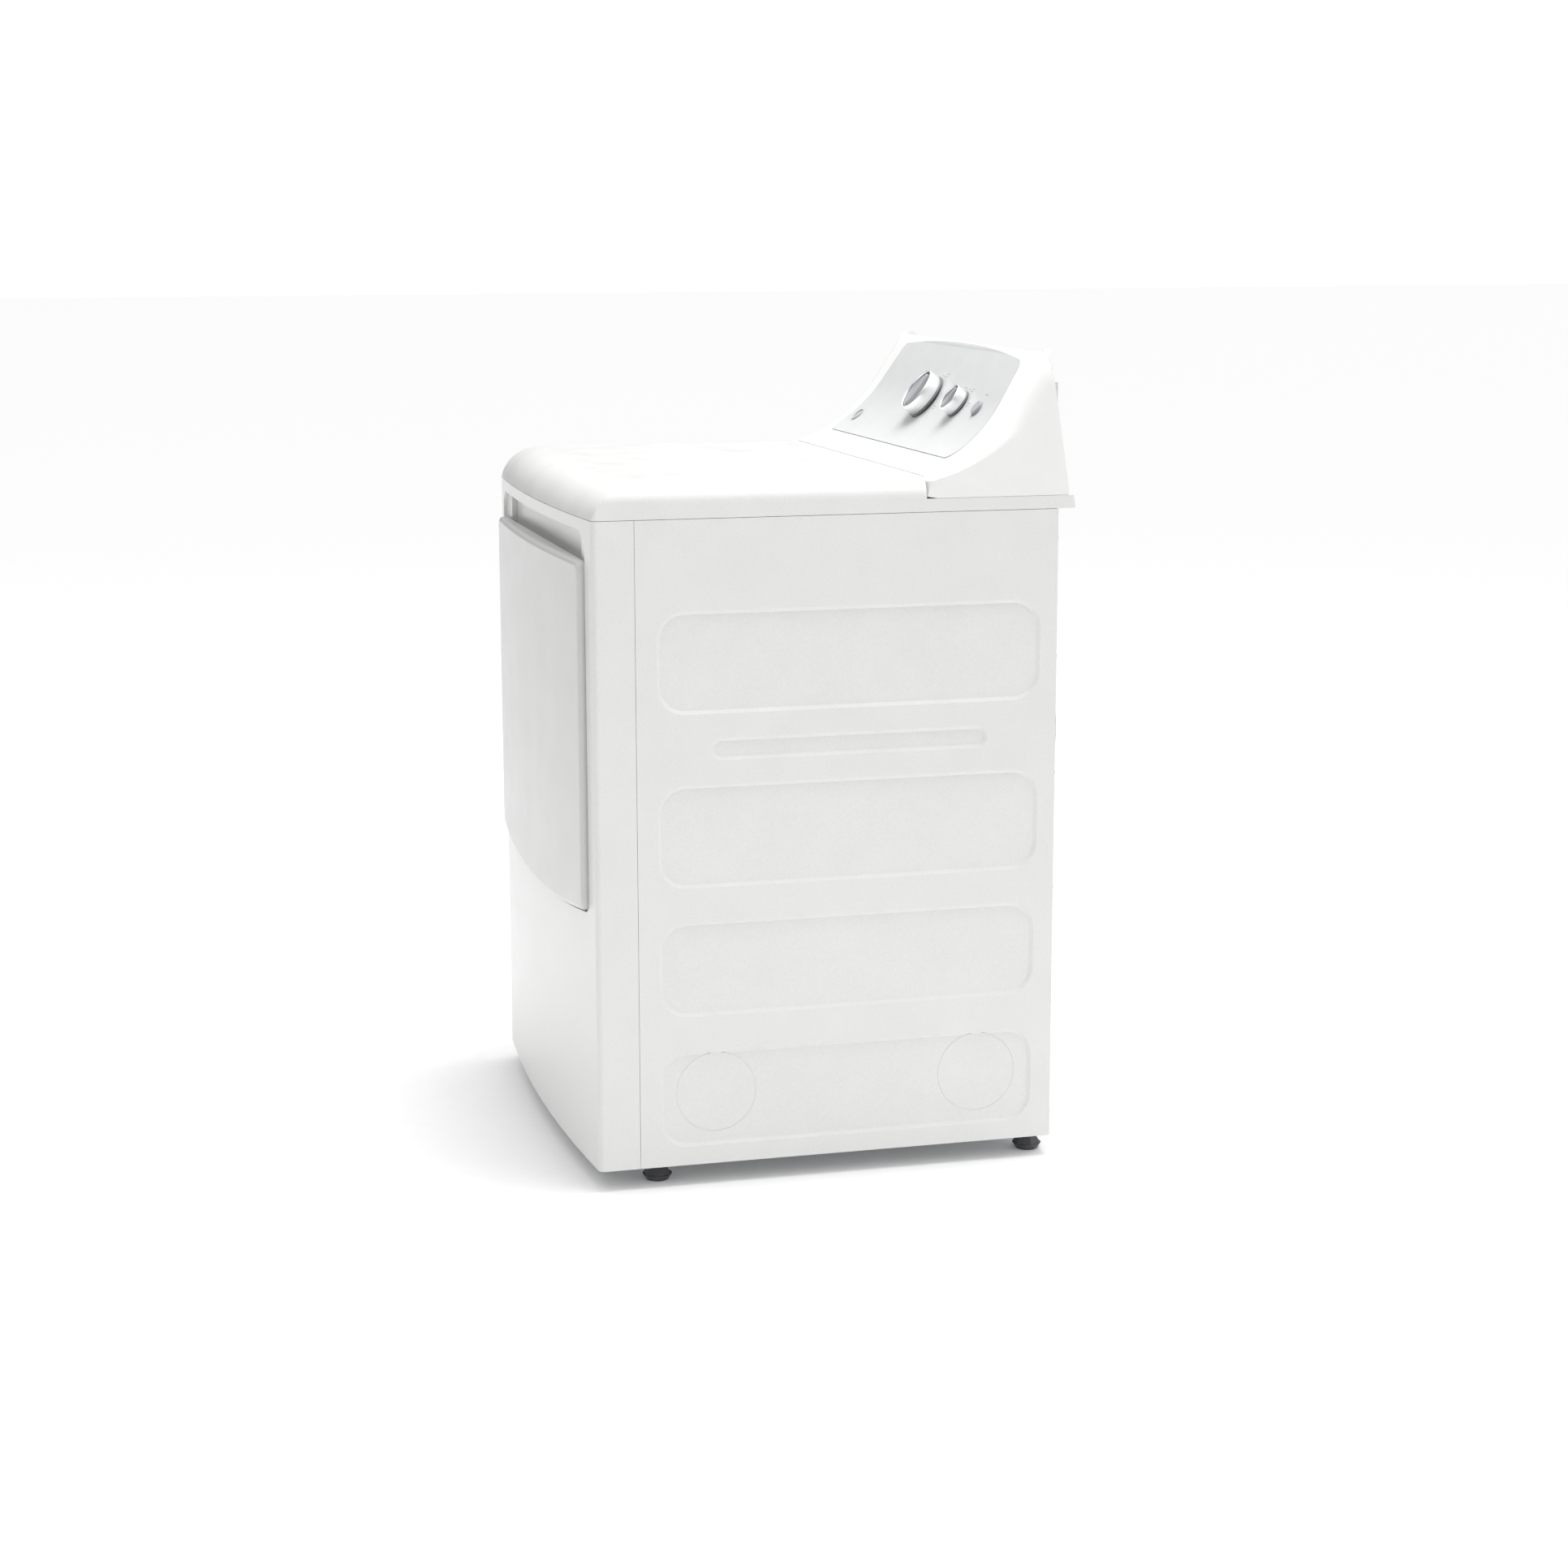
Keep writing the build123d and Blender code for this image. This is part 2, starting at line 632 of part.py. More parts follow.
# ---- air path at the front ----
def front_bulkhead():
    """Inner front: a plate behind the front panel, the opening's collar and the drum's ring."""
    plate = box(-341.5, 341.5, BULKHEAD_Y, BULKHEAD_Y + STEEL, 60, 880)
    plate += along_y(mouth(STEEL), RECESS_Y + STEEL, BULKHEAD_Y + STEEL)
    plate += tube(0, AXIS_Z, RING_R - STEEL, RING_R, BULKHEAD_Y, 92)
    plate -= along_y(mouth(0), -5, BULKHEAD_Y + 5)
    plate -= box(-111, 111, 14, 40, 430, 445)
    return plate - rod(MOTOR_X, MOTOR_Z, 58.0, BULKHEAD_Y - 5, BULKHEAD_Y + 5)


def front_seal():
    """Felt ring between the bulkhead's ring and the drum's front rim."""
    return tube(0, AXIS_Z, RING_R, DRUM_R - STEEL - 1.2, 62, 74)


def drum_slides():
    """Two plastic pads at the top of the ring that the drum's rim rides on."""
    pads = []
    ring = tube(0, AXIS_Z, RING_R, DRUM_R - STEEL - 0.4, 77, 91)
    for angle in (-35.0, 35.0):
        wedge = Rot(0, angle, 0) * box(-32, 32, 70, 95, 250, 320)
        pads.append(ring & (Pos(0, 0, AXIS_Z) * wedge))
    return group(pads)


def trap_duct():
    """Duct from the lint filter's slot down to the blower's inlet."""
    wall = 1.5
    duct = box(-120, 195, 5, BULKHEAD_Y - 0.5, 92, 434)
    duct -= box(-120 + wall, 195 - wall, 5 + wall, BULKHEAD_Y - 0.5 - wall, 92 + wall, 434 - wall)
    duct -= box(-112, 112, 14, 40, 425, 440)
    return duct - rod(MOTOR_X, MOTOR_Z, 54.0, 30, 60)


def lint_filter_frame():
    """Moulded frame of the lint filter with its finger grip on top."""
    frame = box(-105, 105, 22, 34, 285, 448)
    frame -= box(-97, 97, 15, 45, 293, 428)
    frame += box(-3, 3, 22, 34, 290, 430)
    frame -= box(-99, 99, 27.5, 28.5, 291, 430)
    return frame - box(-60, 60, 20, 27, 436, 444)


def lint_filter_screen():
    """Fine mesh held in the frame's groove."""
    return box(-99, 99, 27.6, 28.4, 291, 430)


def blower_housing():
    """Scroll casing with a round inlet in front and a round outlet behind."""
    wall = 2.0

    def scroll(inset):
        low_box = Pos(35, DUCT_Z) * Rectangle(190 - 2 * inset, 110 - 2 * inset)
        return low_box + Pos(MOTOR_X, MOTOR_Z) * Circle(88 - inset)

    casing = along_y(scroll(0), 64, 134)
    casing += rod(MOTOR_X, MOTOR_Z, 57, BULKHEAD_Y + STEEL + 0.5, 66)
    casing -= along_y(scroll(wall), 64 + wall, 134 - wall)
    casing -= rod(MOTOR_X, MOTOR_Z, 55, 30, 70)
    casing -= rod(MOTOR_X, MOTOR_Z, 13, 100, 150)
    return casing - rod(0, DUCT_Z, DUCT_R - 1.8, 100, 150)


def exhaust_duct():
    """Round vent pipe from the blower, swaged up to the vent hose's size outside the back."""
    wall = 0.8
    swage_y = BACK_Y + 0.8
    slim = DUCT_R - 1.0
    pipe = tube(0, DUCT_Z, slim - wall, slim, 134, swage_y + 0.5)
    pipe += tube(0, DUCT_Z, slim - wall, DUCT_R, swage_y, swage_y + 1.0)
    return pipe + tube(0, DUCT_Z, DUCT_R - wall, DUCT_R, swage_y + 0.5, DUCT_END_Y)


def blower_wheel():
    """Squirrel-cage wheel: back disc, hub, curved ring and a loop of blades."""
    wheel = rod(0, 0, 78, 117, 120) + rod(0, 0, 14, 96, 128)
    wheel += tube(0, 0, 62, 78, 74, 76.5)
    blade_count = 24
    for index in range(blade_count):
        blade = Pos(70, 0, 0) * Rot(0, 35, 0) * box(-7.5, 7.5, 76, 118, -0.8, 0.8)
        wheel += Rot(0, index * 360 / blade_count, 0) * blade
    wheel -= rod(0, 0, MOTOR_SHAFT_R, 90, 140)
    return Pos(MOTOR_X, 0, MOTOR_Z) * wheel


# ---- drive ----
def drive_motor():
    """Motor can with domed end bells and two hubs."""
    can = rod(0, 0, MOTOR_R, 150, 290)
    can = fillet(can.edges().filter_by(GeomType.CIRCLE), 8)
    for y0 in (140, 290):
        can += rod(0, 0, 20, y0, y0 + 10)
    for index in range(12):
        slot = Rot(0, index * 30, 0) * box(34, 50, 140, 158, -4, 4)
        can -= slot
    can -= rod(0, 0, MOTOR_SHAFT_R + RUN, 130, 310)
    return Pos(MOTOR_X, 0, MOTOR_Z) * can


def motor_bracket():
    """Cradle for the motor, with an upright that carries the idler's pivot."""
    z0 = FLOOR_GAP + STEEL + 1.4
    frame = box(60, 276, 141, 352, z0, z0 + 3)
    for y0 in (142.0, 294.0):
        frame += box(MOTOR_X - 45, MOTOR_X + 45, y0, y0 + 3, z0, MOTOR_Z + 10)
        frame += rod(MOTOR_X, MOTOR_Z, 34, y0, y0 + 3)
        frame -= rod(MOTOR_X, MOTOR_Z, 20.1, y0 - 1, y0 + 4)
    frame += box(236, 276, 345, 348, z0, 128)
    frame += box(270, 330, 345, 348, 104, 128)
    frame += rod(322, 118, 2.5, 330, 346)
    return frame + rod(PIVOT_X, PIVOT_Z, 5.0, 336, 346)


def motor_shaft():
    """Motor spindle, long enough for the wheel in front and the pulley behind."""
    return rod(MOTOR_X, MOTOR_Z, MOTOR_SHAFT_R, 98, 340)


def motor_pulley():
    """Small flanged belt pulley."""
    pulley = rod(MOTOR_X, MOTOR_Z, 14, 322, 338)
    pulley -= tube(MOTOR_X, MOTOR_Z, PULLEY_R, 20, 324.5, 335.5)
    return pulley - rod(MOTOR_X, MOTOR_Z, MOTOR_SHAFT_R, 310, 350)


def idler_arm():
    """Steel arm that swings on the bracket's pin and carries the idler's pin."""
    hub = rod(PIVOT_X, PIVOT_Z, 11, 338, 344)
    length = math.hypot(IDLER_X - PIVOT_X, IDLER_Z - PIVOT_Z)
    lean = math.degrees(math.atan2(PIVOT_X - IDLER_X, IDLER_Z - PIVOT_Z))
    blade = box(-8, 8, 339, 342, -34, length)
    arm = hub + Pos(PIVOT_X, 0, PIVOT_Z) * Rot(0, -lean, 0) * blade
    arm += rod(IDLER_X, IDLER_Z, 8, 338, 342)
    arm += rod(IDLER_X, IDLER_Z, 5, 322, 339)
    return arm - rod(PIVOT_X, PIVOT_Z, 5.0 + RUN, 330, 350)


def idler_pulley():
    """Flat idler wheel that presses on the belt's back."""
    wheel = rod(IDLER_X, IDLER_Z, IDLER_R, 324, 336)
    wheel -= tube(IDLER_X, IDLER_Z, 13, 25, 320, 326)
    wheel -= tube(IDLER_X, IDLER_Z, 13, 25, 334, 340)
    return wheel - rod(IDLER_X, IDLER_Z, 5.0 + RUN, 310, 350)


def idler_spring():
    """Envelope of the coil spring between the arm's tail and the bracket."""
    start = Vector(276, 334, 86)
    end = Vector(318.5, 334, 115)
    length = (end - start).length
    lie = Plane(origin=start, z_dir=(end - start))
    coil = lie * Pos(0, 0, length / 2) * Cylinder(4.5, length)
    return coil - lie * Pos(0, 0, length / 2) * Cylinder(3.2, length + 2)


def belt_outline(grow):
    """Belt loop in front view: round the drum, over the idler's back and round the pulley."""
    drum = ((0.0, AXIS_Z), DRUM_R + BELT_LIFT + BELT_THICK / 2, 1)
    idler = ((IDLER_X, IDLER_Z), IDLER_R + BELT_LIFT + BELT_THICK / 2, -1)
    pulley = ((MOTOR_X, MOTOR_Z), PULLEY_R + BELT_LIFT + BELT_THICK / 2, 1)
    rounds = [drum, idler, pulley]
    joins = []
    for index, first in enumerate(rounds):
        second = rounds[(index + 1) % 3]
        joins.append(belt_tangent(first, second, grow))
    edges = []
    for index, ((x, z), radius, turn) in enumerate(rounds):
        arrive = joins[index - 1][1]
        leave = joins[index][0]
        middle = belt_arc_middle((x, z), arrive, leave, turn)
        edges.append(ThreePointArc(arrive, middle, leave))
        edges.append(Line(leave, joins[index][1]))
    return make_face(Curve() + edges)


def belt_tangent(first, second, grow):
    """The two ends of the straight run from one round to the next, clockwise in front view."""
    (x1, z1), radius1, turn1 = first
    (x2, z2), radius2, turn2 = second
    r1 = turn1 * radius1 + grow
    r2 = turn2 * radius2 + grow
    gap = math.hypot(x2 - x1, z2 - z1)
    heading = math.atan2(z2 - z1, x2 - x1)
    lean = heading + math.acos((r1 - r2) / gap)
    side = (math.cos(lean), math.sin(lean))
    return (x1 + r1 * side[0], z1 + r1 * side[1]), (x2 + r2 * side[0], z2 + r2 * side[1])


def belt_arc_middle(centre, arrive, leave, turn):
    """The middle of the stretch of belt that lies on a round."""
    radius = math.hypot(arrive[0] - centre[0], arrive[1] - centre[1])
    first = math.atan2(arrive[1] - centre[1], arrive[0] - centre[0])
    last = math.atan2(leave[1] - centre[1], leave[0] - centre[0])
    sweep = (first - last) * turn % (2 * math.pi)
    angle = first - turn * sweep / 2
    return (centre[0] + radius * math.cos(angle), centre[1] + radius * math.sin(angle))


def drive_belt():
    """Flat ribbed belt round the drum, the idler and the motor pulley."""
    y0 = BELT_Y - BELT_WIDTH / 2
    y1 = BELT_Y + BELT_WIDTH / 2
    outer = along_y(belt_outline(BELT_THICK / 2), y0, y1)
    return outer - along_y(belt_outline(-BELT_THICK / 2), y0 - 1, y1 + 1)


# ---- drum and heater ----
def drum():
    """Steel drum, open in front, with a perforated back."""
    shell = rod(0, AXIS_Z, DRUM_R, DRUM_FRONT_Y, DRUM_BACK_Y)
    shell -= rod(0, AXIS_Z, DRUM_R - STEEL, DRUM_FRONT_Y - 1, DRUM_BACK_Y - STEEL)
    holes = []
    for radius in (60.0, 74.0, 88.0):
        for index in range(24):
            angle = math.radians(index * 15)
            x = radius * math.cos(angle)
            z = AXIS_Z + radius * math.sin(angle)
            holes.append(rod(x, z, 3.5, DRUM_BACK_Y - 5, DRUM_BACK_Y + 5))
    return shell - holes


def baffle():
    """Hollow lifter, open against the drum's wall, in the place of the lowest one."""
    low = -(DRUM_R - STEEL - 2.5)
    outline = make_face(Polyline((-34, low), (-12, low + 46), (12, low + 46), (34, low), close=True))
    outline = fillet(outline.vertices().sort_by(Axis.Y)[-2:], 9)
    inner = offset(outline, -3, kind=Kind.INTERSECTION)
    inner += Pos(0, -4) * inner
    return along_y(outline, 110, 560) - along_y(inner, 113, 557)


def baffles():
    """Three lifters, a third of a turn apart."""
    lifters = [Pos(0, 0, AXIS_Z) * Rot(0, turn, 0) * baffle() for turn in (0, 120, 240)]
    return group(lifters)


def drum_shaft():
    """Flanged stub axle riveted to the drum's back."""
    return rod(0, AXIS_Z, 36, DRUM_BACK_Y, DRUM_BACK_Y + 3) + rod(0, AXIS_Z, SHAFT_R, 592, 628)


def rear_bearing():
    """Sleeve bearing for the stub axle."""
    return tube(0, AXIS_Z, SHAFT_R + RUN, 12, 604, 631)


def bearing_bracket():
    """Spider across the back opening that holds the sleeve bearing."""
    spider = rod(0, AXIS_Z, 17, 604, BACK_Y)
    for turn in (30, 150, 270):
        arm = Rot(0, turn, 0) * box(-9, 9, BACK_Y - 3, BACK_Y, 0, 116)
        spider += Pos(0, 0, AXIS_Z) * arm
    return spider - rod(0, AXIS_Z, 12, 600, 631)


def heater_housing():
    """Round galvanised shroud over the heater, with air slots in its face."""
    flange_back = BACK_Y + 0.8 + STEEL
    dome = rod(0, AXIS_Z, DOME_R, BACK_Y + 0.8, DOME_BACK_Y)
    dome = fillet(dome.edges().group_by(Axis.Y)[-1], 9)
    inner = rod(0, AXIS_Z, DOME_R - STEEL, BACK_Y - 5, DOME_BACK_Y - STEEL)
    inner = fillet(inner.edges().group_by(Axis.Y)[-1], 8)
    dome += rod(0, AXIS_Z, DOME_R + 15, BACK_Y + 0.8, flange_back)
    dome -= inner
    for index in range(12):
        slot = Rot(0, index * 30, 0) * box(-3, 3, DOME_BACK_Y - 5, DOME_BACK_Y + 5, 48, 92)
        dome -= Pos(0, 0, AXIS_Z) * slot
    return dome


def heater_coil():
    """Two open rings of heating wire, as the envelope of their coils."""
    rings = []
    for radius in (84.0, 62.0):
        ring = Pos(0, 672, AXIS_Z) * Rot(90, 0, 0) * Torus(radius, 5)
        gap = box(-8, 8, 660, 690, AXIS_Z + radius - 12, AXIS_Z + radius + 12)
        rings.append(ring - gap)
    return group(rings)


def heater_frame():
    """Three-armed mica and steel frame with notches that the coils lie in."""
    frame = tube(0, AXIS_Z, 30, 40, 662, 664)
    for turn in (60, 180, 300):
        arm = box(-7, 7, 662, 664, 35, 110)
        for radius in (84.0, 62.0):
            arm += box(-3, 3, 662, 680, radius + 5.2, radius + 8)
            arm += box(-3, 3, 662, 680, radius - 8, radius - 5.2)
        frame += Pos(0, 0, AXIS_Z) * Rot(0, turn, 0) * arm
    return frame


def thermostat():
    """Disc thermostat on the outside of the heater housing."""
    disc = rod(150, AXIS_Z + 40, 13, BACK_Y + 0.8, BACK_Y + 7)
    return disc + rod(150, AXIS_Z + 40, 8.5, BACK_Y + 6, BACK_Y + 19)


def terminal_block():
    """Three-way terminal block inside the back, above the cord hole."""
    block = box(CORD_X - 38, CORD_X + 38, BACK_Y - 26, BACK_Y, CORD_Z + 30, CORD_Z + 62)
    for index in (-1, 0, 1):
        x = CORD_X + index * 24
        block += rod(x, CORD_Z + 46, 5, BACK_Y - 34, BACK_Y - 25)
    return block


def foot(x, y):
    """Levelling foot: hexagonal moulded pad on a threaded rod."""
    pad = Pos(x, y, 0) * Cone(15, 20, 8, align=(Align.CENTER, Align.CENTER, Align.MIN))
    hexagon = RegularPolygon(20, 6)
    small = RegularPolygon(13, 6)
    upper = loft([Pos(x, y, 8) * hexagon, Pos(x, y, 19) * small], ruled=True)
    return pad + upper + post(x, y, 5.0, 18, 72)


# ---- write every node ----
right = side_panel()
save(right, "side_panel_right")
save(mirrored(right), "side_panel_left")
save(front_panel(), "front_panel")
save(top_panel(), "top_panel")
save(rear_panel(), "rear_panel")
save(screws(), "rear_screws")
save(base_pan(), "base_pan")
save(corner_brackets(), "corner_brackets")

save(console_body(), "console_body")
save(console_overlay(), "console_overlay")
save(console_rear_cover(), "console_rear_cover")
save(knob(TIMER_X, 34.5, 22.0), "timer_knob")
save(knob_ring(TIMER_X, 34.5, 21.0), "timer_knob_ring")
save(switch_box(TIMER_X, 66.0, 44.0, 5.0), "timer")
save(knob(HEAT_X, 21.5, 19.0), "temperature_knob")
save(knob_ring(HEAT_X, 21.5, 18.0), "temperature_knob_ring")
save(switch_box(HEAT_X, 36.0, 26.0, 4.0), "temperature_switch")
save(start_button(), "start_button")
save(face_block(START_X, KNOB_Z, 24, 24, -34, -10), "start_switch")

save(door_outer_panel(), "door_outer_panel")
save(door_inner_panel(), "door_inner_panel")
save(door_seal(), "door_seal")
save(frame_hinge_leaves(), "frame_hinge_leaves")
save(door_hinge_leaves(), "door_hinge_leaves")
save(hinge_pins(), "hinge_pins")
save(door_strike(), "door_strike")
save(door_catch(), "door_catch")
save(door_switch(), "door_switch")
save(door_switch_plunger(), "door_switch_plunger")

save(front_bulkhead(), "front_bulkhead")
save(front_seal(), "front_seal")
save(drum_slides(), "drum_slides")
save(trap_duct(), "trap_duct")
save(lint_filter_frame(), "lint_filter_frame")
save(lint_filter_screen(), "lint_filter_screen")
save(blower_housing(), "blower_housing")
save(exhaust_duct(), "exhaust_duct")
save(blower_wheel(), "blower_wheel")

save(drive_motor(), "drive_motor")
save(motor_bracket(), "motor_bracket")
save(motor_shaft(), "motor_shaft")
save(motor_pulley(), "motor_pulley")
save(idler_arm(), "idler_arm")
save(idler_pulley(), "idler_pulley")
save(idler_spring(), "idler_spring")
save(drive_belt(), "drive_belt")

save(drum(), "drum")
save(baffles(), "baffles")
save(drum_shaft(), "drum_shaft")
save(rear_bearing(), "rear_bearing")
save(bearing_bracket(), "bearing_bracket")
save(heater_housing(), "heater_housing")
save(heater_coil(), "heater_coil")
save(heater_frame(), "heater_frame")
save(thermostat(), "thermostat")
save(terminal_block(), "terminal_block")

for side_name, side_x in (("left", -FOOT_X), ("right", FOOT_X)):
    for end_name, end_y in zip(("front", "rear"), FOOT_YS):
        save(foot(side_x, end_y), f"foot_{end_name}_{side_name}")
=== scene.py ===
# %% [markdown]
# # A clothes dryer, dressed around its CAD frame
#
# The machine is a 27 inch vented dryer: enamelled steel panels, a moulded console with a satin
# faceplate and two knobs, and behind the skin a drum, a belt drive, a blower and a heater. The
# engineering model already holds every sub-part at its true size, so this lesson gives each of
# them the finish that it has in life and adds the small pieces that a CAD model leaves out.

# %% Load the frame
import json
import math

import bmesh
import bpy
from mathutils import Matrix, Vector
from mathutils.bvhtree import BVHTree


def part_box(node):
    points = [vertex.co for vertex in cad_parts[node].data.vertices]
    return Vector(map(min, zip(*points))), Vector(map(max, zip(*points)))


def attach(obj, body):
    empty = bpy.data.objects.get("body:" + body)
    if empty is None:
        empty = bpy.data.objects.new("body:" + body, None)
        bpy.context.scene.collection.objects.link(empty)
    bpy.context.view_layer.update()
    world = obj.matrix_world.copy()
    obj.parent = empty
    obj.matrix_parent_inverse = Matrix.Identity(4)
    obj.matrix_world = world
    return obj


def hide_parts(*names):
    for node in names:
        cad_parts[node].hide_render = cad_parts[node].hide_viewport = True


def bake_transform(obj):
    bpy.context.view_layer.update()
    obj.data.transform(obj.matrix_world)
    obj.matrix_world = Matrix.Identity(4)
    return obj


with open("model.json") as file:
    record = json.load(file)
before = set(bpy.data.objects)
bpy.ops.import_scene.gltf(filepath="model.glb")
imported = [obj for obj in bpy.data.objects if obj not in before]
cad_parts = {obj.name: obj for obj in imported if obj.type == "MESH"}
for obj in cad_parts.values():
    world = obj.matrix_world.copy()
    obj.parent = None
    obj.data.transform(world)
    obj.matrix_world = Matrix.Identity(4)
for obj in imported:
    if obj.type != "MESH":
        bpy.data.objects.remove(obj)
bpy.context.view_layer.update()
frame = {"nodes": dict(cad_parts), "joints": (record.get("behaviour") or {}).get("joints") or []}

NODES = frame["nodes"]

# %% [markdown]
# ## Looking at it
#
# A product picture of an appliance is taken from well back with a long lens, so that the upright
# edges stay upright. The camera stands to the right of the machine, a little in front of it and
# just above the console, and looks down by eleven degrees.


# %% The camera
CAMERA_PLACE = Vector((4.1524, -1.1050, 1.3027))
HEADING, TILT, ROLL = 75.143, 10.884, -0.0916
LENS_MM, SENSOR_MM = 69.49, 36.0
FAR_CLIP = 200.0


def look_from(place, azimuth, tilt, roll):
    """The camera's matrix for a heading, a downward tilt and a roll, all in degrees."""
    a, t, r = (math.radians(value) for value in (azimuth, tilt, roll))
    back = Vector((math.sin(a) * math.cos(t), -math.cos(a) * math.cos(t), math.sin(t)))
    right = Vector((math.cos(a), math.sin(a), 0))
    up = back.cross(right)
    side = right * math.cos(r) + up * math.sin(r)
    top = up * math.cos(r) - right * math.sin(r)
    turn = Matrix((side, top, back)).transposed().to_4x4()
    return Matrix.Translation(place) @ turn


camera_data = bpy.data.cameras.new("studio_camera")
camera_data.lens = LENS_MM
camera_data.sensor_width = SENSOR_MM
camera_data.clip_end = FAR_CLIP
camera = bpy.data.objects.new("studio_camera", camera_data)
bpy.context.scene.collection.objects.link(camera)
camera.matrix_world = look_from(CAMERA_PLACE, HEADING, TILT, ROLL)
bpy.context.scene.camera = camera
print("camera", [round(value, 3) for value in camera.location])

# %% [markdown]
# ## A small tool for shader nodes
#
# Every finish is a short chain of shader nodes. One function adds any node, sets its switches and
# its sockets, and links what feeds it, so each material reads as a list of what it is made of.
# Colours are written as the hex values of a paint chart and turned to linear light by one function.
# Two more short helpers set the ends of a colour ramp and join the finished chain to the shader.


# %% Colour and node helpers
def linear(hex_colour):
    """An sRGB hex colour as linear red, green, blue and alpha."""
    parts = [int(hex_colour[i:i + 2], 16) / 255 for i in (1, 3, 5)]
    return tuple(c / 12.92 if c <= 0.04045 else ((c + 0.055) / 1.055) ** 2.4 for c in parts) + (1.0,)


def add(tree, kind, sockets=None, links=None, **switches):
    """Adds one node: its switches, its constant sockets, and what feeds the others."""
    made = tree.nodes.new(kind)
    for name, value in switches.items():
        setattr(made, name, value)
    for name, value in (sockets or {}).items():
        made.inputs[name].default_value = value
    for name, source in (links or {}).items():
        tree.links.new(source, made.inputs[name])
    return made


def finish(name, hex_colour, sockets=None):
    """A new material with its shader's constant values, and its tree, shader and place."""
    material = bpy.data.materials.new(name)
    material.use_nodes = True
    tree = material.node_tree
    shader = tree.nodes["Principled BSDF"]
    shader.inputs["Base Color"].default_value = linear(hex_colour)
    material.diffuse_color = linear(hex_colour)
    for socket, value in (sockets or {}).items():
        shader.inputs[socket].default_value = value
    place = tree.nodes.new("ShaderNodeTexCoord").outputs["Object"]
    return material, tree, shader, place


def set_ends(ramp, *ends):
    """Gives a colour ramp its two ends, each a position and a hex colour."""
    for element, (position, hex_colour) in zip(ramp.color_ramp.elements, ends):
        element.position = position
        element.color = linear(hex_colour)


def feed(tree, shader, **sources):
    """Joins the first output of each node to the shader's socket of that name."""
    for socket, source in sources.items():
        tree.links.new(source.outputs[0], shader.inputs[socket.replace("_", " ")])


def per_mm(size):
    """The scale of a pattern whose features are this many millimetres across."""
    return 1000.0 / size


FINISH = {}
print("white is", linear("#FFFFFF"))

# %% [markdown]
# ## White appliance enamel
#
# The panels are cold-rolled steel, washed, sprayed with white enamel and baked. The paint flows
# before it sets and keeps a faint orange peel, a few millimetres from crest to crest, that breaks
# up every reflection. A noise far below the paint's gloss gives the ripple, a slower noise gives
# the uneven film, and a clear coat keeps the hard shine of baked paint. The ripple is drawn a
# little coarser than it is so that it still shows at this distance.


# %% Enamel
FILM_MM, SPECK_MM, PEEL_MM = 60, 2.2, 4.5


def baked_enamel(name, hex_colour, thin_hex, rough):
    """Sprayed and baked enamel: an uneven film, fine specks and a faint orange peel."""
    material, tree, shader, place = finish(name, hex_colour, {"IOR": 1.5, "Coat Weight": 0.35,
                                                              "Coat Roughness": 0.12})
    film = add(tree, "ShaderNodeTexNoise", {"Scale": per_mm(FILM_MM), "Detail": 3.0}, {"Vector": place})
    speck = add(tree, "ShaderNodeTexNoise", {"Scale": per_mm(SPECK_MM), "Detail": 2.0},
                {"Vector": place})
    both = add(tree, "ShaderNodeMath", {1: 0.5}, {0: film.outputs[0]}, operation="MULTIPLY_ADD")
    tree.links.new(speck.outputs[0], both.inputs[2])
    tint = add(tree, "ShaderNodeValToRGB", None, {"Fac": both.outputs[0]})
    set_ends(tint, (0.45, thin_hex), (0.95, hex_colour))
    gloss = add(tree, "ShaderNodeMapRange", {"From Min": 0.3, "From Max": 0.7, "To Min": rough - 0.05,
                                             "To Max": rough + 0.06}, {"Value": film.outputs[0]})
    peel = add(tree, "ShaderNodeTexNoise", {"Scale": per_mm(PEEL_MM), "Detail": 1.5}, {"Vector": place})
    ripple = add(tree, "ShaderNodeBump", {"Strength": 0.3, "Distance": 0.00006},
                 {"Height": peel.outputs[0]})
    feed(tree, shader, Base_Color=tint, Roughness=gloss, Normal=ripple)
    return material


FINISH["painted_steel"] = baked_enamel("white appliance enamel, sprayed and baked", "#E8E8E7",
                                       "#E1E1E0", 0.34)
FINISH["inner_enamel"] = baked_enamel("white powder coat, baked", "#ECECEA", "#E3E3E0", 0.46)
print("enamels", len(FINISH))

# %% [markdown]
# ## Hot-dipped galvanised steel
#
# The back, the base and the brackets are zinc-coated sheet, left bare. As the zinc freezes it
# grows flat crystals, the spangle, each of which reflects a little differently. A Voronoi cell
# pattern about a centimetre across gives every crystal its own grey and its own gloss, and fine
# rolling lines run through all of them.


# %% Galvanised sheet
SPANGLE_MM, ROLLING_MM = 9, 1.2


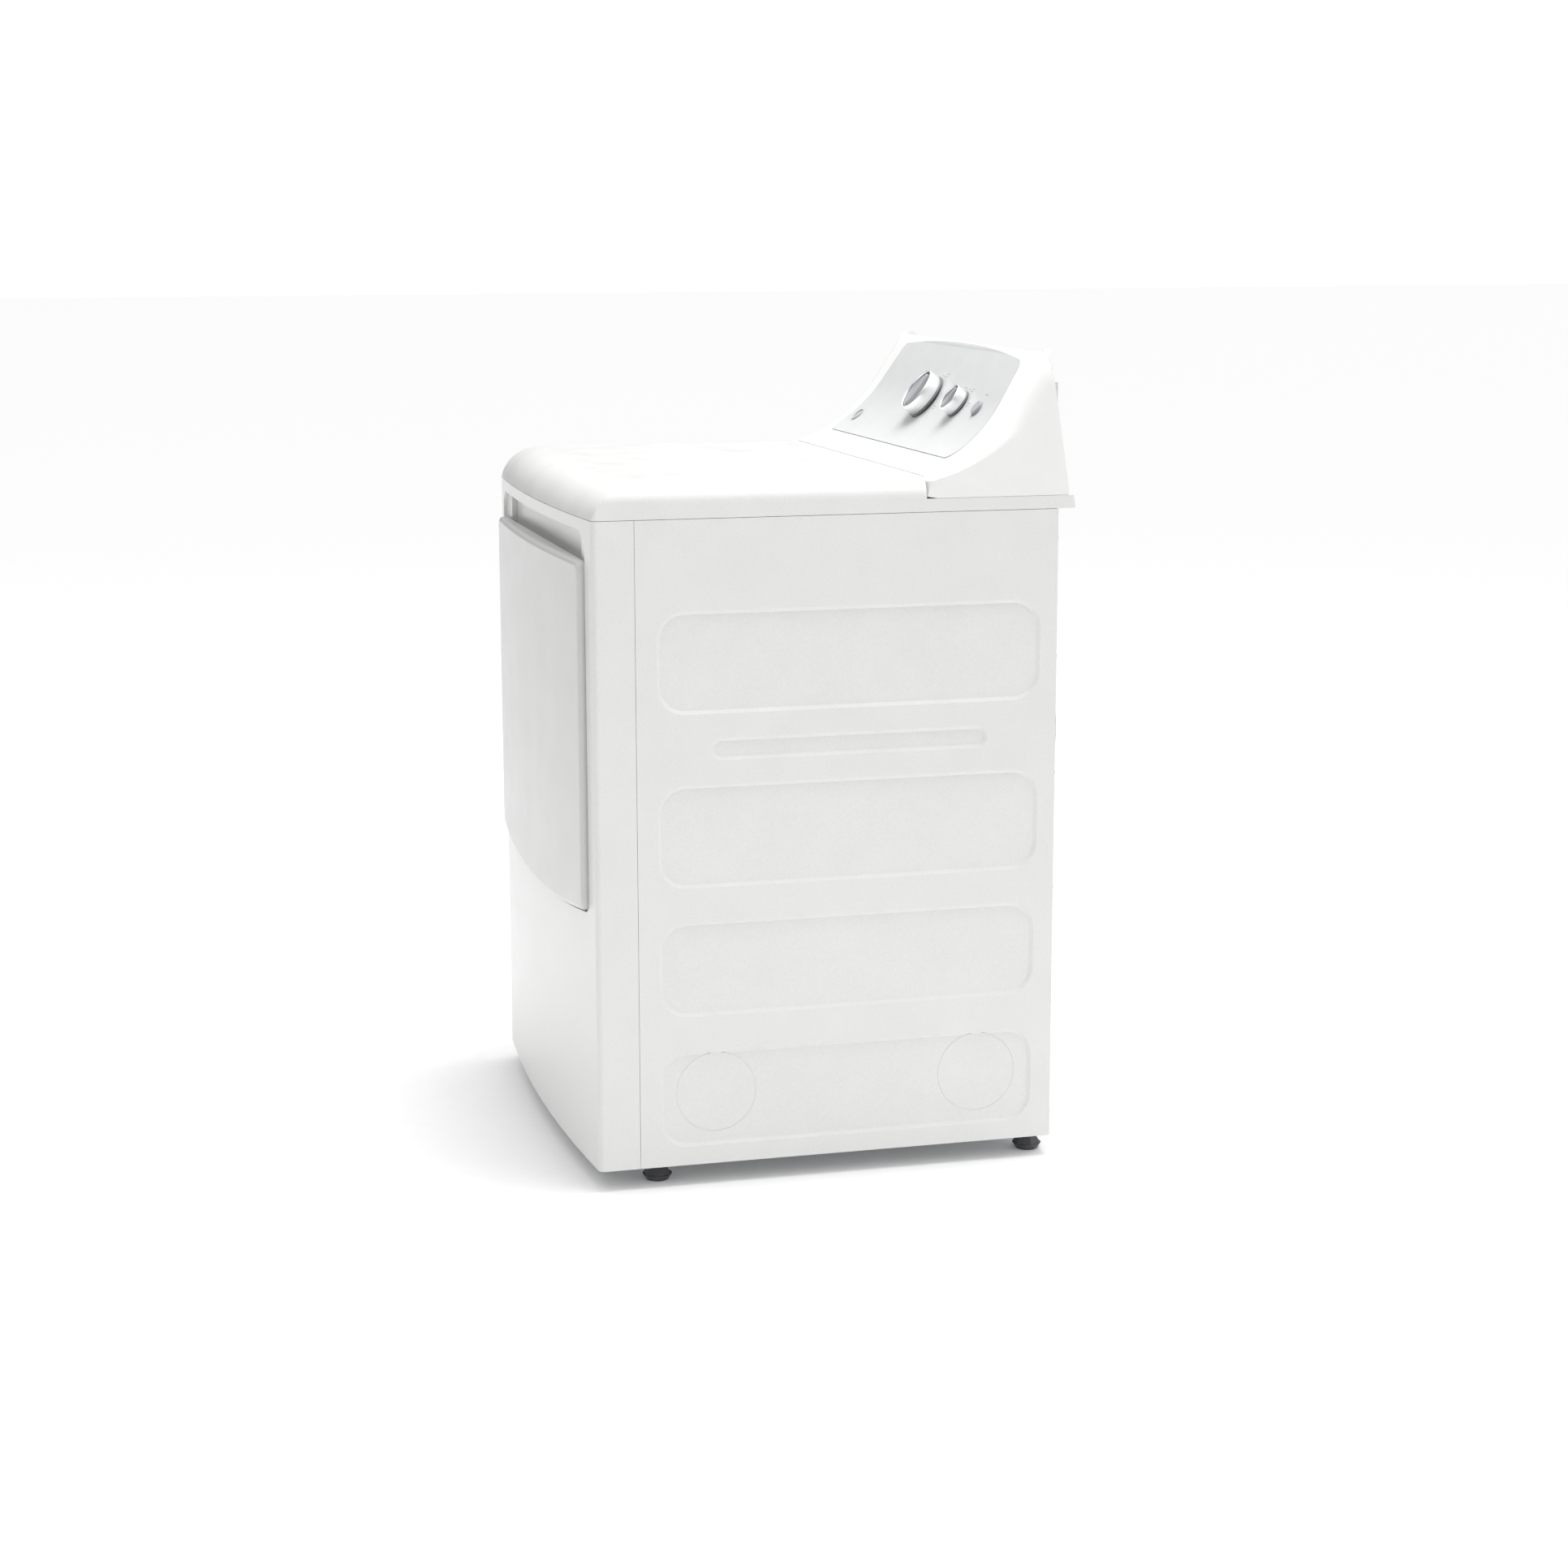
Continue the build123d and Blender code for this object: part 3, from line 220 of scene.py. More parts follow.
def galvanised_sheet():
    """Bare zinc on steel: crystals of many greys under fine rolling lines."""
    material, tree, shader, place = finish("galvanised steel, hot-dipped", "#B4B8BA",
                                           {"Metallic": 1.0})
    crystals = add(tree, "ShaderNodeTexVoronoi", {"Scale": per_mm(SPANGLE_MM), "Randomness": 1.0},
                   {"Vector": place}, feature="F1")
    value = add(tree, "ShaderNodeSeparateColor", None, {"Color": crystals.outputs["Color"]})
    grey = add(tree, "ShaderNodeValToRGB", None, {"Fac": value.outputs[0]})
    set_ends(grey, (0.0, "#A3A8AB"), (1.0, "#C9CCCD"))
    stretch = add(tree, "ShaderNodeMapping", {"Scale": (1.0, 1.0, 0.03)}, {"Vector": place})
    lines = add(tree, "ShaderNodeTexNoise", {"Scale": per_mm(ROLLING_MM)},
                {"Vector": stretch.outputs[0]})
    gloss = add(tree, "ShaderNodeMapRange", {"To Min": 0.32, "To Max": 0.5},
                {"Value": value.outputs[1]})
    rolled = add(tree, "ShaderNodeBump", {"Strength": 0.2, "Distance": 0.00003},
                 {"Height": lines.outputs[0]})
    feed(tree, shader, Base_Color=grey, Roughness=gloss, Normal=rolled)
    return material


FINISH["galvanised_steel"] = galvanised_sheet()
print("galvanised", FINISH["galvanised_steel"].name)

# %% [markdown]
# ## Plated, turned and wound metals
#
# Small hardware is barrel-plated with zinc, the motor pulley is turned steel, the bearing is
# bronze pressed from powder and soaked in oil, and the heating wire is nickel chromium that has
# gone dark with heat. The knobs' rings are ABS with a satin chromium plate. They share one recipe,
# a metal whose colour wanders between two tones over a known grain, with a fine bump of the same
# size; only the tones, the grain and the gloss differ.


# %% Metals
def worked_metal(name, dark, light, grain_mm, rough, bump_mm, stretch=(1.0, 1.0, 1.0)):
    """A bare or plated metal whose tone wanders over its grain."""
    material, tree, shader, place = finish(name, light, {"Metallic": 1.0})
    drawn = add(tree, "ShaderNodeMapping", {"Scale": stretch}, {"Vector": place})
    grain = add(tree, "ShaderNodeTexNoise", {"Scale": per_mm(grain_mm), "Detail": 4.0},
                {"Vector": drawn.outputs[0]})
    tone = add(tree, "ShaderNodeValToRGB", None, {"Fac": grain.outputs[0]})
    set_ends(tone, (0.35, dark), (0.65, light))
    gloss = add(tree, "ShaderNodeMapRange", {"To Min": rough - 0.08, "To Max": rough + 0.08},
                {"Value": grain.outputs[0]})
    relief = add(tree, "ShaderNodeBump", {"Strength": 0.4, "Distance": bump_mm / 1000},
                 {"Height": grain.outputs[0]})
    feed(tree, shader, Base_Color=tone, Roughness=gloss, Normal=relief)
    return material


FINISH["zinc_hardware"] = worked_metal("steel, bright zinc plated", "#B3B09F", "#CFCDC3", 3.0, 0.3,
                                       0.02)
FINISH["pulley_steel"] = worked_metal("steel, turned", "#8E8F90", "#B9BABB", 0.8, 0.32, 0.02,
                                      (1.0, 8.0, 1.0))
FINISH["bronze"] = worked_metal("bronze, sintered and oiled", "#8A6232", "#B98A52", 0.6, 0.42, 0.04)
FINISH["heater_wire"] = worked_metal("nickel chromium wire, oxidised", "#3B342E", "#6B6157", 2.0,
                                     0.55, 0.02)
FINISH["knob_chrome"] = worked_metal("ABS, chromium plated", "#F6F7F7", "#FBFBFB", 14.0, 0.34, 0.004)
print("metals", sorted(FINISH))

# %% [markdown]
# ## Moulded plastics
#
# The console is white ABS with a fine spark-eroded grain, the knobs are grey ABS, the switches are
# natural nylon, and the air ducts, blower and baffles are grey polypropylene. Each mould leaves its
# own texture: a low bump of a known size. The colour drifts a little, as pigment does in the melt.
# The motor's stoved paint, the printing ink and the floor's paint have the same makings, two close
# tones over a fine grain, so they come from the same recipe.


# %% Plastics
DRIFT_MM = 35


def grained(name, hex_colour, drift_hex, rough, grain_mm, bump_mm, ior=1.53):
    """A plastic or a paint: two close tones over a fine grain."""
    material, tree, shader, place = finish(name, hex_colour, {"IOR": ior})
    melt = add(tree, "ShaderNodeTexNoise", {"Scale": per_mm(DRIFT_MM), "Detail": 2.0}, {"Vector": place})
    tone = add(tree, "ShaderNodeValToRGB", None, {"Fac": melt.outputs[0]})
    set_ends(tone, (0.3, drift_hex), (0.7, hex_colour))
    texture = add(tree, "ShaderNodeTexNoise", {"Scale": per_mm(grain_mm), "Detail": 3.0},
                  {"Vector": place})
    gloss = add(tree, "ShaderNodeMapRange", {"To Min": rough - 0.06, "To Max": rough + 0.06},
                {"Value": texture.outputs[0]})
    relief = add(tree, "ShaderNodeBump", {"Strength": 0.35, "Distance": bump_mm / 1000},
                 {"Height": texture.outputs[0]})
    feed(tree, shader, Base_Color=tone, Roughness=gloss, Normal=relief)
    return material


FINISH["console_abs"] = grained("ABS, moulded white", "#F2F2F1", "#EFEFEE", 0.32, 1.5, 0.02)
FINISH["knob_grey"] = grained("ABS, moulded grey", "#A8ABAD", "#9FA2A5", 0.42, 1.0, 0.03)
# The knobs' skirts: a real ring whose dark grey is partly painted shadow for the gap under each knob.
FINISH["skirt_grey"] = grained("ABS, dark grey, partly painted shadow", "#77797C", "#6D6F72", 0.4, 1.0, 0.03)
FINISH["switch_nylon"] = grained("nylon, natural", "#E0DAC6", "#D6CFB8", 0.5, 1.6, 0.03)
FINISH["grey_polypropylene"] = grained("polypropylene, talc filled", "#989C9F", "#8E9296", 0.48, 1.3,
                                       0.05, 1.49)
FINISH["foot_black"] = grained("nylon, moulded black", "#515154", "#49494C", 0.46, 1.2, 0.06)
FINISH["faceplate"] = grained("polycarbonate film, satin printed", "#CFD0D0", "#CCCDCD", 0.5, 0.9, 0.02)
FINISH["motor_steel"] = grained("steel, dark stoved enamel", "#54575A", "#4B4E51", 0.4, 2.5, 0.05)
FINISH["rubber_black"] = grained("rubber, moulded", "#1A1A1A", "#242423", 0.72, 1.1, 0.08)
print("plastics and paints", len(FINISH))

# %% [markdown]
# ## Felt and filter mesh
#
# The drum runs on a ring of pressed wool felt, and the lint screen is a woven polyester net. Felt
# is a mass of fibres: a stretched noise gives them, and sheen gives the soft halo. The net is two
# sets of threads about a millimetre apart, which two wave textures draw at right angles.


# %% Fibres
FIBRE_MM, THREAD_MM = 0.9, 1.1
WAVE_BANDS = 20


def pressed_felt():
    """Grey wool felt, a mass of curled fibres."""
    material, tree, shader, place = finish("wool, pressed felt", "#6E685F",
                                           {"Roughness": 0.95, "Sheen Weight": 0.4})
    fibres = add(tree, "ShaderNodeTexNoise",
                 {"Scale": per_mm(FIBRE_MM), "Detail": 6.0, "Distortion": 2.5}, {"Vector": place})
    tone = add(tree, "ShaderNodeValToRGB", None, {"Fac": fibres.outputs[0]})
    set_ends(tone, (0.0, "#575148"), (1.0, "#857F74"))
    relief = add(tree, "ShaderNodeBump", {"Strength": 0.8, "Distance": 0.0004},
                 {"Height": fibres.outputs[0]})
    feed(tree, shader, Base_Color=tone, Normal=relief)
    return material


def woven_net():
    """Polyester net: two sets of threads at right angles."""
    material, tree, shader, place = finish("polyester, woven net", "#DADAD4", {"Roughness": 0.6})
    threads = []
    for direction in ("X", "Z"):
        wave = add(tree, "ShaderNodeTexWave", {"Scale": per_mm(THREAD_MM) / WAVE_BANDS}, {"Vector": place},
                   bands_direction=direction, wave_profile="SIN")
        threads.append(wave.outputs["Fac"])
    weave = add(tree, "ShaderNodeMath", None, {0: threads[0], 1: threads[1]}, operation="MAXIMUM")
    tone = add(tree, "ShaderNodeValToRGB", None, {"Fac": weave.outputs[0]})
    set_ends(tone, (0.0, "#6D6E6A"), (1.0, "#E4E4DE"))
    relief = add(tree, "ShaderNodeBump", {"Strength": 0.8, "Distance": 0.0003},
                 {"Height": weave.outputs[0]})
    feed(tree, shader, Base_Color=tone, Normal=relief)
    return material


FINISH["felt"] = pressed_felt()
FINISH["filter_mesh"] = woven_net()
print("all finishes", len(FINISH))

# %% [markdown]
# ## Dressing the CAD parts
#
# Each CAD part arrives with the name of its material slot. Where its shape is already right it
# stays as it is, and only its finish changes. The door's skin and the cover behind the console get
# a greyer copy of the cabinet's enamel: painted shade, for the weaker light that falls on them.

# %% Give every CAD part its finish
for node in NODES.values():
    for socket in node.material_slots:
        socket.material = FINISH[socket.material.name.split(".")[0]]
# The cabinet's enamel a shade greyer: painted shade on the door's skin and the console's rear cover.
FINISH["door_enamel"] = baked_enamel("white appliance enamel, greyer for painted shade", "#D3D3D2", "#CECECD", 0.34)
for shaded_part in ("door_outer_panel", "console_rear_cover"):
    NODES[shaded_part].material_slots[0].material = FINISH["door_enamel"]
print("dressed", len(NODES), "parts")

# %% [markdown]
# ## Mesh tools
#
# Turned and moulded round parts are made as on a lathe: half of the section is drawn as radius and
# height, then spun about an axis. Wire is a curve with a round section. Both tools put a piece
# straight into the machine's own frame.


# %% Lathe and wire
def axis_frame(origin, axis, across=(1, 0, 0)):
    """A matrix whose z follows axis and whose x lies as near to across as it can."""
    z = Vector(axis).normalized()
    x = Vector(across)
    x = (x - z * x.dot(z)).normalized()
    turn = Matrix((x, z.cross(x), z)).transposed().to_4x4()
    return Matrix.Translation(Vector(origin)) @ turn


def place_piece(name, mesh, body, slot, stands_for=(), material=None):
    """Puts a mesh in the scene in its finish, and on its body where it rides on only one."""
    piece = bpy.data.objects.new(name, mesh)
    bpy.context.scene.collection.objects.link(piece)
    mesh.materials.append(material or FINISH[slot])
    if body:
        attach(piece, body)
    if stands_for:
        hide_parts(*stands_for)
    return piece


def spin(shape, profile, where, steps=96):
    """Spins a closed or axis-to-axis profile of (radius, height) points about where's z axis."""
    rings = []
    for radius, height in profile:
        if radius < 1e-7:
            rings.append([shape.verts.new(where @ Vector((0, 0, height)))])
            continue
        ring = []
        for step in range(steps):
            angle = 2 * math.pi * step / steps
            spot = Vector((radius * math.cos(angle), radius * math.sin(angle), height))
            ring.append(shape.verts.new(where @ spot))
        rings.append(ring)
    closed = profile[0][0] > 1e-7
    pairs = zip(rings, rings[1:] + rings[:1]) if closed else zip(rings, rings[1:])
    for low, high in pairs:
        for step in range(steps):
            following = (step + 1) % steps
            corners = [low[step % len(low)], low[following % len(low)],
                       high[following % len(high)], high[step % len(high)]]
            distinct = []
            for corner in corners:
                if corner not in distinct:
                    distinct.append(corner)
            shape.faces.new(distinct)


def close_mesh(name, shape, smooth_degrees=35):
    """Turns a bmesh into a mesh with its faces outwards and its soft edges smooth."""
    bmesh.ops.recalc_face_normals(shape, faces=shape.faces)
    mesh = bpy.data.meshes.new(name)
    shape.to_mesh(mesh)
    shape.free()
    mesh.set_sharp_from_angle(angle=math.radians(smooth_degrees))
    return mesh


def turned(name, profile, where, body, slot, stands_for=(), steps=96, material=None):
    """A round piece on an axis; the profile is in millimetres."""
    shape = bmesh.new()
    spin(shape, [(radius / 1000, height / 1000) for radius, height in profile], where, steps)
    return place_piece(name, close_mesh(name, shape), body, slot, stands_for, material)


def wire(name, points, diameter, body, slot, stands_for=()):
    """Round wire bent along the points."""
    curve = bpy.data.curves.new(name, "CURVE")
    curve.dimensions = "3D"
    curve.bevel_depth = diameter / 2
    curve.bevel_resolution = 2
    curve.use_fill_caps = True
    line = curve.splines.new("POLY")
    line.points.add(len(points) - 1)
    for spot, point in zip(line.points, points):
        spot.co = (*point, 1.0)
    line.use_smooth = True
    raw = bpy.data.objects.new(name + "_line", curve)
    mesh = bpy.data.meshes.new_from_object(raw)
    mesh.name = name
    mesh.materials.clear()
    bpy.data.objects.remove(raw)
    return place_piece(name, mesh, body, slot, stands_for)


print("mesh tools ready")

# %% [markdown]
# ## Where the console's face is
#
# The faceplate is bent to a sweep, so nothing that sits on it is flat or upright. A ray cast back
# from the front finds the exact point and the slope of the plate for any place across and up.


# %% Find a place on the faceplate
PLATE = NODES["console_overlay"].data
PLATE_TREE = BVHTree.FromPolygons([v.co for v in PLATE.vertices],
                                  [p.vertices for p in PLATE.polygons])


def on_plate(x, z):
    """The point of the faceplate at x and z, and the direction square to it."""
    hit, normal, _, _ = PLATE_TREE.ray_cast(Vector((x, -1.0, z)), Vector((0, 1, 0)))
    return hit, normal


JOINTS = {joint["name"]: joint for joint in frame["joints"]}
TIMER = JOINTS["timer_turn"]
HEAT = JOINTS["temperature_turn"]
print("the plate at the timer is at", [round(value, 4) for value in on_plate(-0.06, 1.025)[0]])

# %% [markdown]
# ## The console's shell
#
# The console is one moulding with very soft ends: the swept face rolls over into a flat end along
# its whole length and round the crest. A bevel can't follow that, because the roll is wider than
# the crest is thick. So the shell is worked out as slices. Near an end each slice is the side view
# moved inward, by as much as a quarter circle asks for at that distance, and a ray from a point
# inside finds the moved outline in every direction. Joined up, the slices make one smooth skin.

# %% The side view of the shell
BODY_LOW, BODY_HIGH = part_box("console_body")
SWEEP_RADIUS = 0.225
toe_y = BODY_LOW.y
toe_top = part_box("top_panel")[1].z
sweep_start = math.radians(17.0)
sweep_end = math.radians(57.5)
sweep_centre = (toe_y - SWEEP_RADIUS * math.sin(sweep_start),
                toe_top + SWEEP_RADIUS * math.cos(sweep_start))
SWEEP_STEPS, CREST_STEPS = 40, 12
CREST_HEIGHT, CREST_DEPTH = 0.013, 0.017


def side_view():
    """Points of the face and the crest as (y, z), run out below the toe and behind the crest."""
    points = [(toe_y, BODY_LOW.z - 0.1), (toe_y, toe_top)]
    for step in range(1, SWEEP_STEPS + 1):
        angle = sweep_start + (sweep_end - sweep_start) * step / SWEEP_STEPS
        points.append((sweep_centre[0] + SWEEP_RADIUS * math.sin(angle),
                       sweep_centre[1] - SWEEP_RADIUS * math.cos(angle)))
    y, z = points[-1]
    rise = BODY_HIGH.z - CREST_HEIGHT - z
    points.append((y + rise / math.tan(sweep_end), z + rise))
    y, z = points[-1]
    for step in range(1, CREST_STEPS + 1):
        angle = math.pi / 2 * step / CREST_STEPS
        points.append((y + CREST_DEPTH * (0.6 * (1 - math.cos(angle)) + 0.4 * math.sin(angle)),
                       z + CREST_HEIGHT * math.sin(angle)))
    y, z = points[-1]
    points.append((y + 0.007, z - 0.0022))
    points.append((y + 0.2, z - 0.07))
    return points


SIDE = side_view()
HUB = (BODY_HIGH.y - 0.051, toe_top + 0.019)
TOE_HEIGHT = 0.09
FARTHEST = 0.32


def depth_inside(y, z):
    """How far a point lies inside the face and crest; negative outside."""
    nearest = 1.0
    inside = False
    for (y0, z0), (y1, z1) in zip(SIDE, SIDE[1:]):
        run = (y1 - y0, z1 - z0)
        t = ((y - y0) * run[0] + (z - z0) * run[1]) / (run[0] ** 2 + run[1] ** 2)
        t = min(1.0, max(0.0, t))
        nearest = min(nearest, math.hypot(y - y0 - t * run[0], z - z0 - t * run[1]))
        if (z0 > z) != (z1 > z) and y > y0 + (z - z0) * run[0] / run[1]:
            inside = not inside
    return nearest if inside else -nearest


def slice_radius(angle, inset, back_shift, lean):
    """Distance from the hub to the outline moved inward by inset, with its back leaning forward."""
    low, high = 0.0, FARTHEST
    for _ in range(15):
        reach = (low + high) / 2
        y = HUB[0] + reach * math.cos(angle)
        z = HUB[1] + reach * math.sin(angle)
        back = BODY_HIGH.y - back_shift - lean * (z - BODY_LOW.z)
        soft = inset * min(1.0, max(0.0, z - BODY_LOW.z) / TOE_HEIGHT)
        if z < BODY_LOW.z or y > back or depth_inside(y, z) < soft:
            high = reach
        else:
            low = reach
    return low


print("side view has", len(SIDE), "points")

# %% [markdown]
# ## Joining the slices
#
# The slices stand close together in the last three centimetres at each end, where the roll turns
# fastest, and there their backs lean forward more, so that the steel cover shows beside them. In
# the middle the shell is open behind for that cover. One skin of faces joins them all.

# %% Join the slices
END_ROLL = 0.030
ROLL_STEPS = 12
MIDDLE_LEAN = 0.066
END_LEAN = 0.155
half_length = BODY_HIGH.x
cover_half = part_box("console_rear_cover")[1].x + 0.001
COVER_POCKET = 0.018
OUTLINE_STEPS = 150


def console_skin(shape):
    """The shell as one closed skin, from its right end to its left end."""
    stations = []
    for step in range(ROLL_STEPS + 1):
        angle = math.pi / 2 * step / ROLL_STEPS
        x = half_length - END_ROLL * (1 - math.cos(angle))
        stations.append((x, END_ROLL * (1 - math.sin(angle)), 0.0, END_LEAN))
    stations += [(cover_half, 0.0, 0.0, MIDDLE_LEAN),
                 (cover_half - 0.0004, 0.0, COVER_POCKET, MIDDLE_LEAN)]
    rings = []
    known = {}
    for x, *cut in stations + [(-x, *cut) for x, *cut in reversed(stations)]:
        if tuple(cut) not in known:
            known[tuple(cut)] = [slice_radius(2 * math.pi * step / OUTLINE_STEPS, *cut)
                                 for step in range(OUTLINE_STEPS)]
        ring = []
        for step, reach in enumerate(known[tuple(cut)]):
            angle = 2 * math.pi * step / OUTLINE_STEPS
            ring.append(shape.verts.new((x, HUB[0] + reach * math.cos(angle),
                                         HUB[1] + reach * math.sin(angle))))
        rings.append(ring)
    for first, second in zip(rings, rings[1:]):
        for step in range(OUTLINE_STEPS):
            following = (step + 1) % OUTLINE_STEPS
            shape.faces.new((first[step], first[following], second[following], second[step]))
    shape.faces.new(rings[0])
    shape.faces.new(rings[-1][::-1])


shell_shape = bmesh.new()
console_skin(shell_shape)
console = place_piece("console_shell", close_mesh("console_shell", shell_shape, 40), "cabinet",
                      "console_abs", ("console_body",))
print("console faces", len(console.data.polygons))

# %% [markdown]
# ## Knobs
#
# Each knob is three mouldings pressed together: a dark grey skirt at the foot, a tall plated ring
# that the fingers turn, and a grey cap that lies dished inside the ring and carries the grip, a
# ridge with its dark pointer at one end. The skirt's dark grey is partly painted shadow for the gap
# under the knob, and a thin black ring between the plated ring and the cap is painted shadow in
# that gap. A lathe makes the round ones. The ridge is drawn from above as a long lozenge and raised
# in layers, so that its top is crowned.


# %% Build a knob
RING_SHARE = 0.97
PLATE_MM, CLEARANCE_MM = 1.2, 0.8


def ridge(shape, where, length, width, low, high, levels=8, around=40):
    """A long crowned ridge, widest at its foot."""
    layers = []
    for level in range(levels + 1):
        t = level / levels
        shrink = math.cos(t * math.pi / 2) ** 0.6
        half_w = width / 2 * (0.42 + 0.58 * shrink)
        half_l = length / 2 * (0.9 + 0.1 * shrink)
        height = low + (high - low) * math.sin(t * math.pi / 2)
        ring = []
        for step in range(around):
            angle = 2 * math.pi * step / around
            u = math.copysign(abs(math.cos(angle)) ** 0.75, math.cos(angle)) * half_w
            v = math.copysign(abs(math.sin(angle)) ** 0.45, math.sin(angle)) * half_l
            sag = 0.12 * (high - low) * (1 - (v / half_l) ** 2) * t
            ring.append(shape.verts.new(where @ Vector((u, v, height - sag))))
        layers.append(ring)
    for low_ring, high_ring in zip(layers, layers[1:]):
        for step in range(around):
            following = (step + 1) % around
            shape.faces.new((low_ring[step], low_ring[following], high_ring[following],
                             high_ring[step]))
    shape.faces.new(layers[0][::-1])
    shape.faces.new(layers[-1])


def build_knob(name, joint, body):
    """Skirt, plated ring, dished cap, grip ridge and pointer of one knob."""
    ring_low, ring_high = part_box(name + "_ring")
    radius = (ring_high.x - ring_low.x) / 2 / RING_SHARE * 1000
    seat = PLATE_MM + CLEARANCE_MM + radius ** 2 / (2 * SWEEP_RADIUS * 1000)
    normal = Vector(joint["axis"])
    base = Vector(joint["pos_m"])
    top = max((v.co - base).dot(normal) for v in NODES[name + "_ring"].data.vertices) * 1000
    where = axis_frame(base, normal)
    # The skirt is a real ring, and its dark grey is partly painted shadow for the gap under the knob.
    turned(name + "_skirt",
           [(radius * 0.86, seat + 0.2), (radius * 0.985, seat + 0.2), (radius, seat + 0.7),
            (radius, seat + 2.4), (radius * 0.985, seat + 2.9), (radius * 0.86, seat + 2.9)],
           where, body, "knob_grey", material=FINISH["skirt_grey"])
    turned(name + "_grip_ring",
           [(radius * 0.955, seat + 3.0), (radius * 0.965, seat + 3.6), (radius * 0.945, top - 1.6),
            (radius * 0.93, top - 0.5), (radius * 0.905, top), (radius * 0.88, top - 0.3),
            (radius * 0.865, top - 1.2), (radius * 0.865, top - 3.4), (radius * 0.85, top - 3.6),
            (radius * 0.85, seat + 3.0)], where, body, "knob_chrome", (name + "_ring",))
    # A thin black ring sunk between the plated ring and the cap: painted shadow in the gap there.
    turned(name + "_rim_line", [(radius * 0.842, top - 3.2), (radius * 0.863, top - 3.2),
                                (radius * 0.863, top - 1.9), (radius * 0.842, top - 1.9)],
           where, body, "foot_black")
    turned(name + "_cap",
           [(0, seat + 3), (radius * 0.84, seat + 3), (radius * 0.84, top - 2.6),
            (radius * 0.82, top - 2.2), (radius * 0.79, top - 2.7), (radius * 0.70, top - 4.4),
            (radius * 0.5, top - 5.4), (radius * 0.2, top - 5.8), (0, top - 5.9)],
           where, body, "knob_grey", (name,))
    shape = bmesh.new()
    ridge(shape, where, radius * 1.6 / 1000, radius * 0.34 / 1000, (top - 6.4) / 1000,
          (top + 0.7) / 1000)
    place_piece(name + "_grip", close_mesh(name + "_grip", shape, 50), body, "knob_grey")
    shape = bmesh.new()
    tip = where @ Matrix.Translation((0, radius * 0.73 / 1000, 0))
    ridge(shape, tip, radius * 0.22 / 1000, radius * 0.13 / 1000, (top - 2.4) / 1000,
          (top + 0.95) / 1000, 6, 24)
    place_piece(name + "_pointer", close_mesh(name + "_pointer", shape, 50), body, "foot_black")
    turned(name + "_spindle", [(0, -18), (4.0, -18), (4.0, seat + 3.2), (0, seat + 3.2)], where, body,
           "switch_nylon", (), 32)
    return where, radius


timer_frame, timer_radius = build_knob("timer_knob", TIMER, "timer_knob")
heat_frame, heat_radius = build_knob("temperature_knob", HEAT, "temperature_knob")
print("knob radii in mm", round(timer_radius, 1), round(heat_radius, 1))

# %% [markdown]
# ## What is printed on the faceplate
#
# A screen-printed legend is a film of ink a few hundredths of a millimetre thick. Each mark is cut
# here as a real strip that follows the plate's bend: the plate is sampled under the mark and the
# strip is laid on it. The marks are plain scales and dashes, so they say nothing in any language.


# %% Print the scales
INK_LIFT = 0.00006
ARC_INK, TICK_INK, WORD_INK = 0.0007, 0.0006, 0.0011


def ribbon(shape, path, width):
    """A strip of ink along (x, z) points of the plate."""
    rows = []
    spots = [on_plate(x, z) for x, z in path]
    for index, (point, normal) in enumerate(spots):
        ahead = spots[min(index + 1, len(spots) - 1)][0] - spots[max(index - 1, 0)][0]
        side = ahead.cross(normal).normalized() * width / 2
        lift = normal * INK_LIFT
        rows.append([shape.verts.new(point + side * a + lift * b)
                     for a, b in ((-1, -1), (1, -1), (1, 1), (-1, 1))])
    for first, second in zip(rows, rows[1:]):
        for corner in range(4):
            following = (corner + 1) % 4
            shape.faces.new((first[corner], first[following], second[following], second[corner]))
    shape.faces.new(rows[0])
    shape.faces.new(rows[-1][::-1])


def around_knob(where, radius_mm, degrees):
    """The plate's x and z at an angle and a distance from a knob's axis."""
    angle = math.radians(degrees)
    reach = radius_mm / 1000
    spot = where @ Vector((reach * math.cos(angle), reach * math.sin(angle), 0))
    return spot.x, spot.z


def scale(shape, where, radius, first, last, step, tick):
    """An arc with ticks outside it."""
    count = round((last - first) / step)
    arc = [around_knob(where, radius, first + (last - first) * i / (4 * count))
           for i in range(4 * count + 1)]
    ribbon(shape, arc, ARC_INK)
    for i in range(count + 1):
        angle = first + step * i
        reach = tick * (1.6 if i % 3 == 0 else 1.0)
        ribbon(shape, [around_knob(where, radius + r, angle) for r in (0.6, reach)], TICK_INK)


ink_shape = bmesh.new()
for first, last in ((-38, 22), (40, 94), (112, 160), (176, 224)):
    scale(ink_shape, timer_frame, timer_radius + 7, first, last, 6, 2.2)
scale(ink_shape, heat_frame, heat_radius + 6, -30, 210, 20, 2.0)
for where, radius, angles in ((timer_frame, timer_radius + 15, (-10, 66, 136, 200)),
                              (heat_frame, heat_radius + 12, (10, 60, 120))):
    for angle in angles:
        x, z = around_knob(where, radius, angle)
        for row, half in ((0.0, 0.0055), (-0.0032, 0.0038)):
            ribbon(ink_shape, [(x - half, z + row), (x, z + row), (x + half, z + row)], WORD_INK)
start_low, start_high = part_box("start_button")
START_X = (start_low.x + start_high.x) / 2
START_Z = TIMER["pos_m"][2]
ribbon(ink_shape, [(START_X - 0.006, START_Z + 0.019), (START_X + 0.006, START_Z + 0.019)], 0.0012)
FINISH["ink"] = grained("ink, screen printed grey", "#9DA0A3", "#95989B", 0.6, 0.8, 0.01)
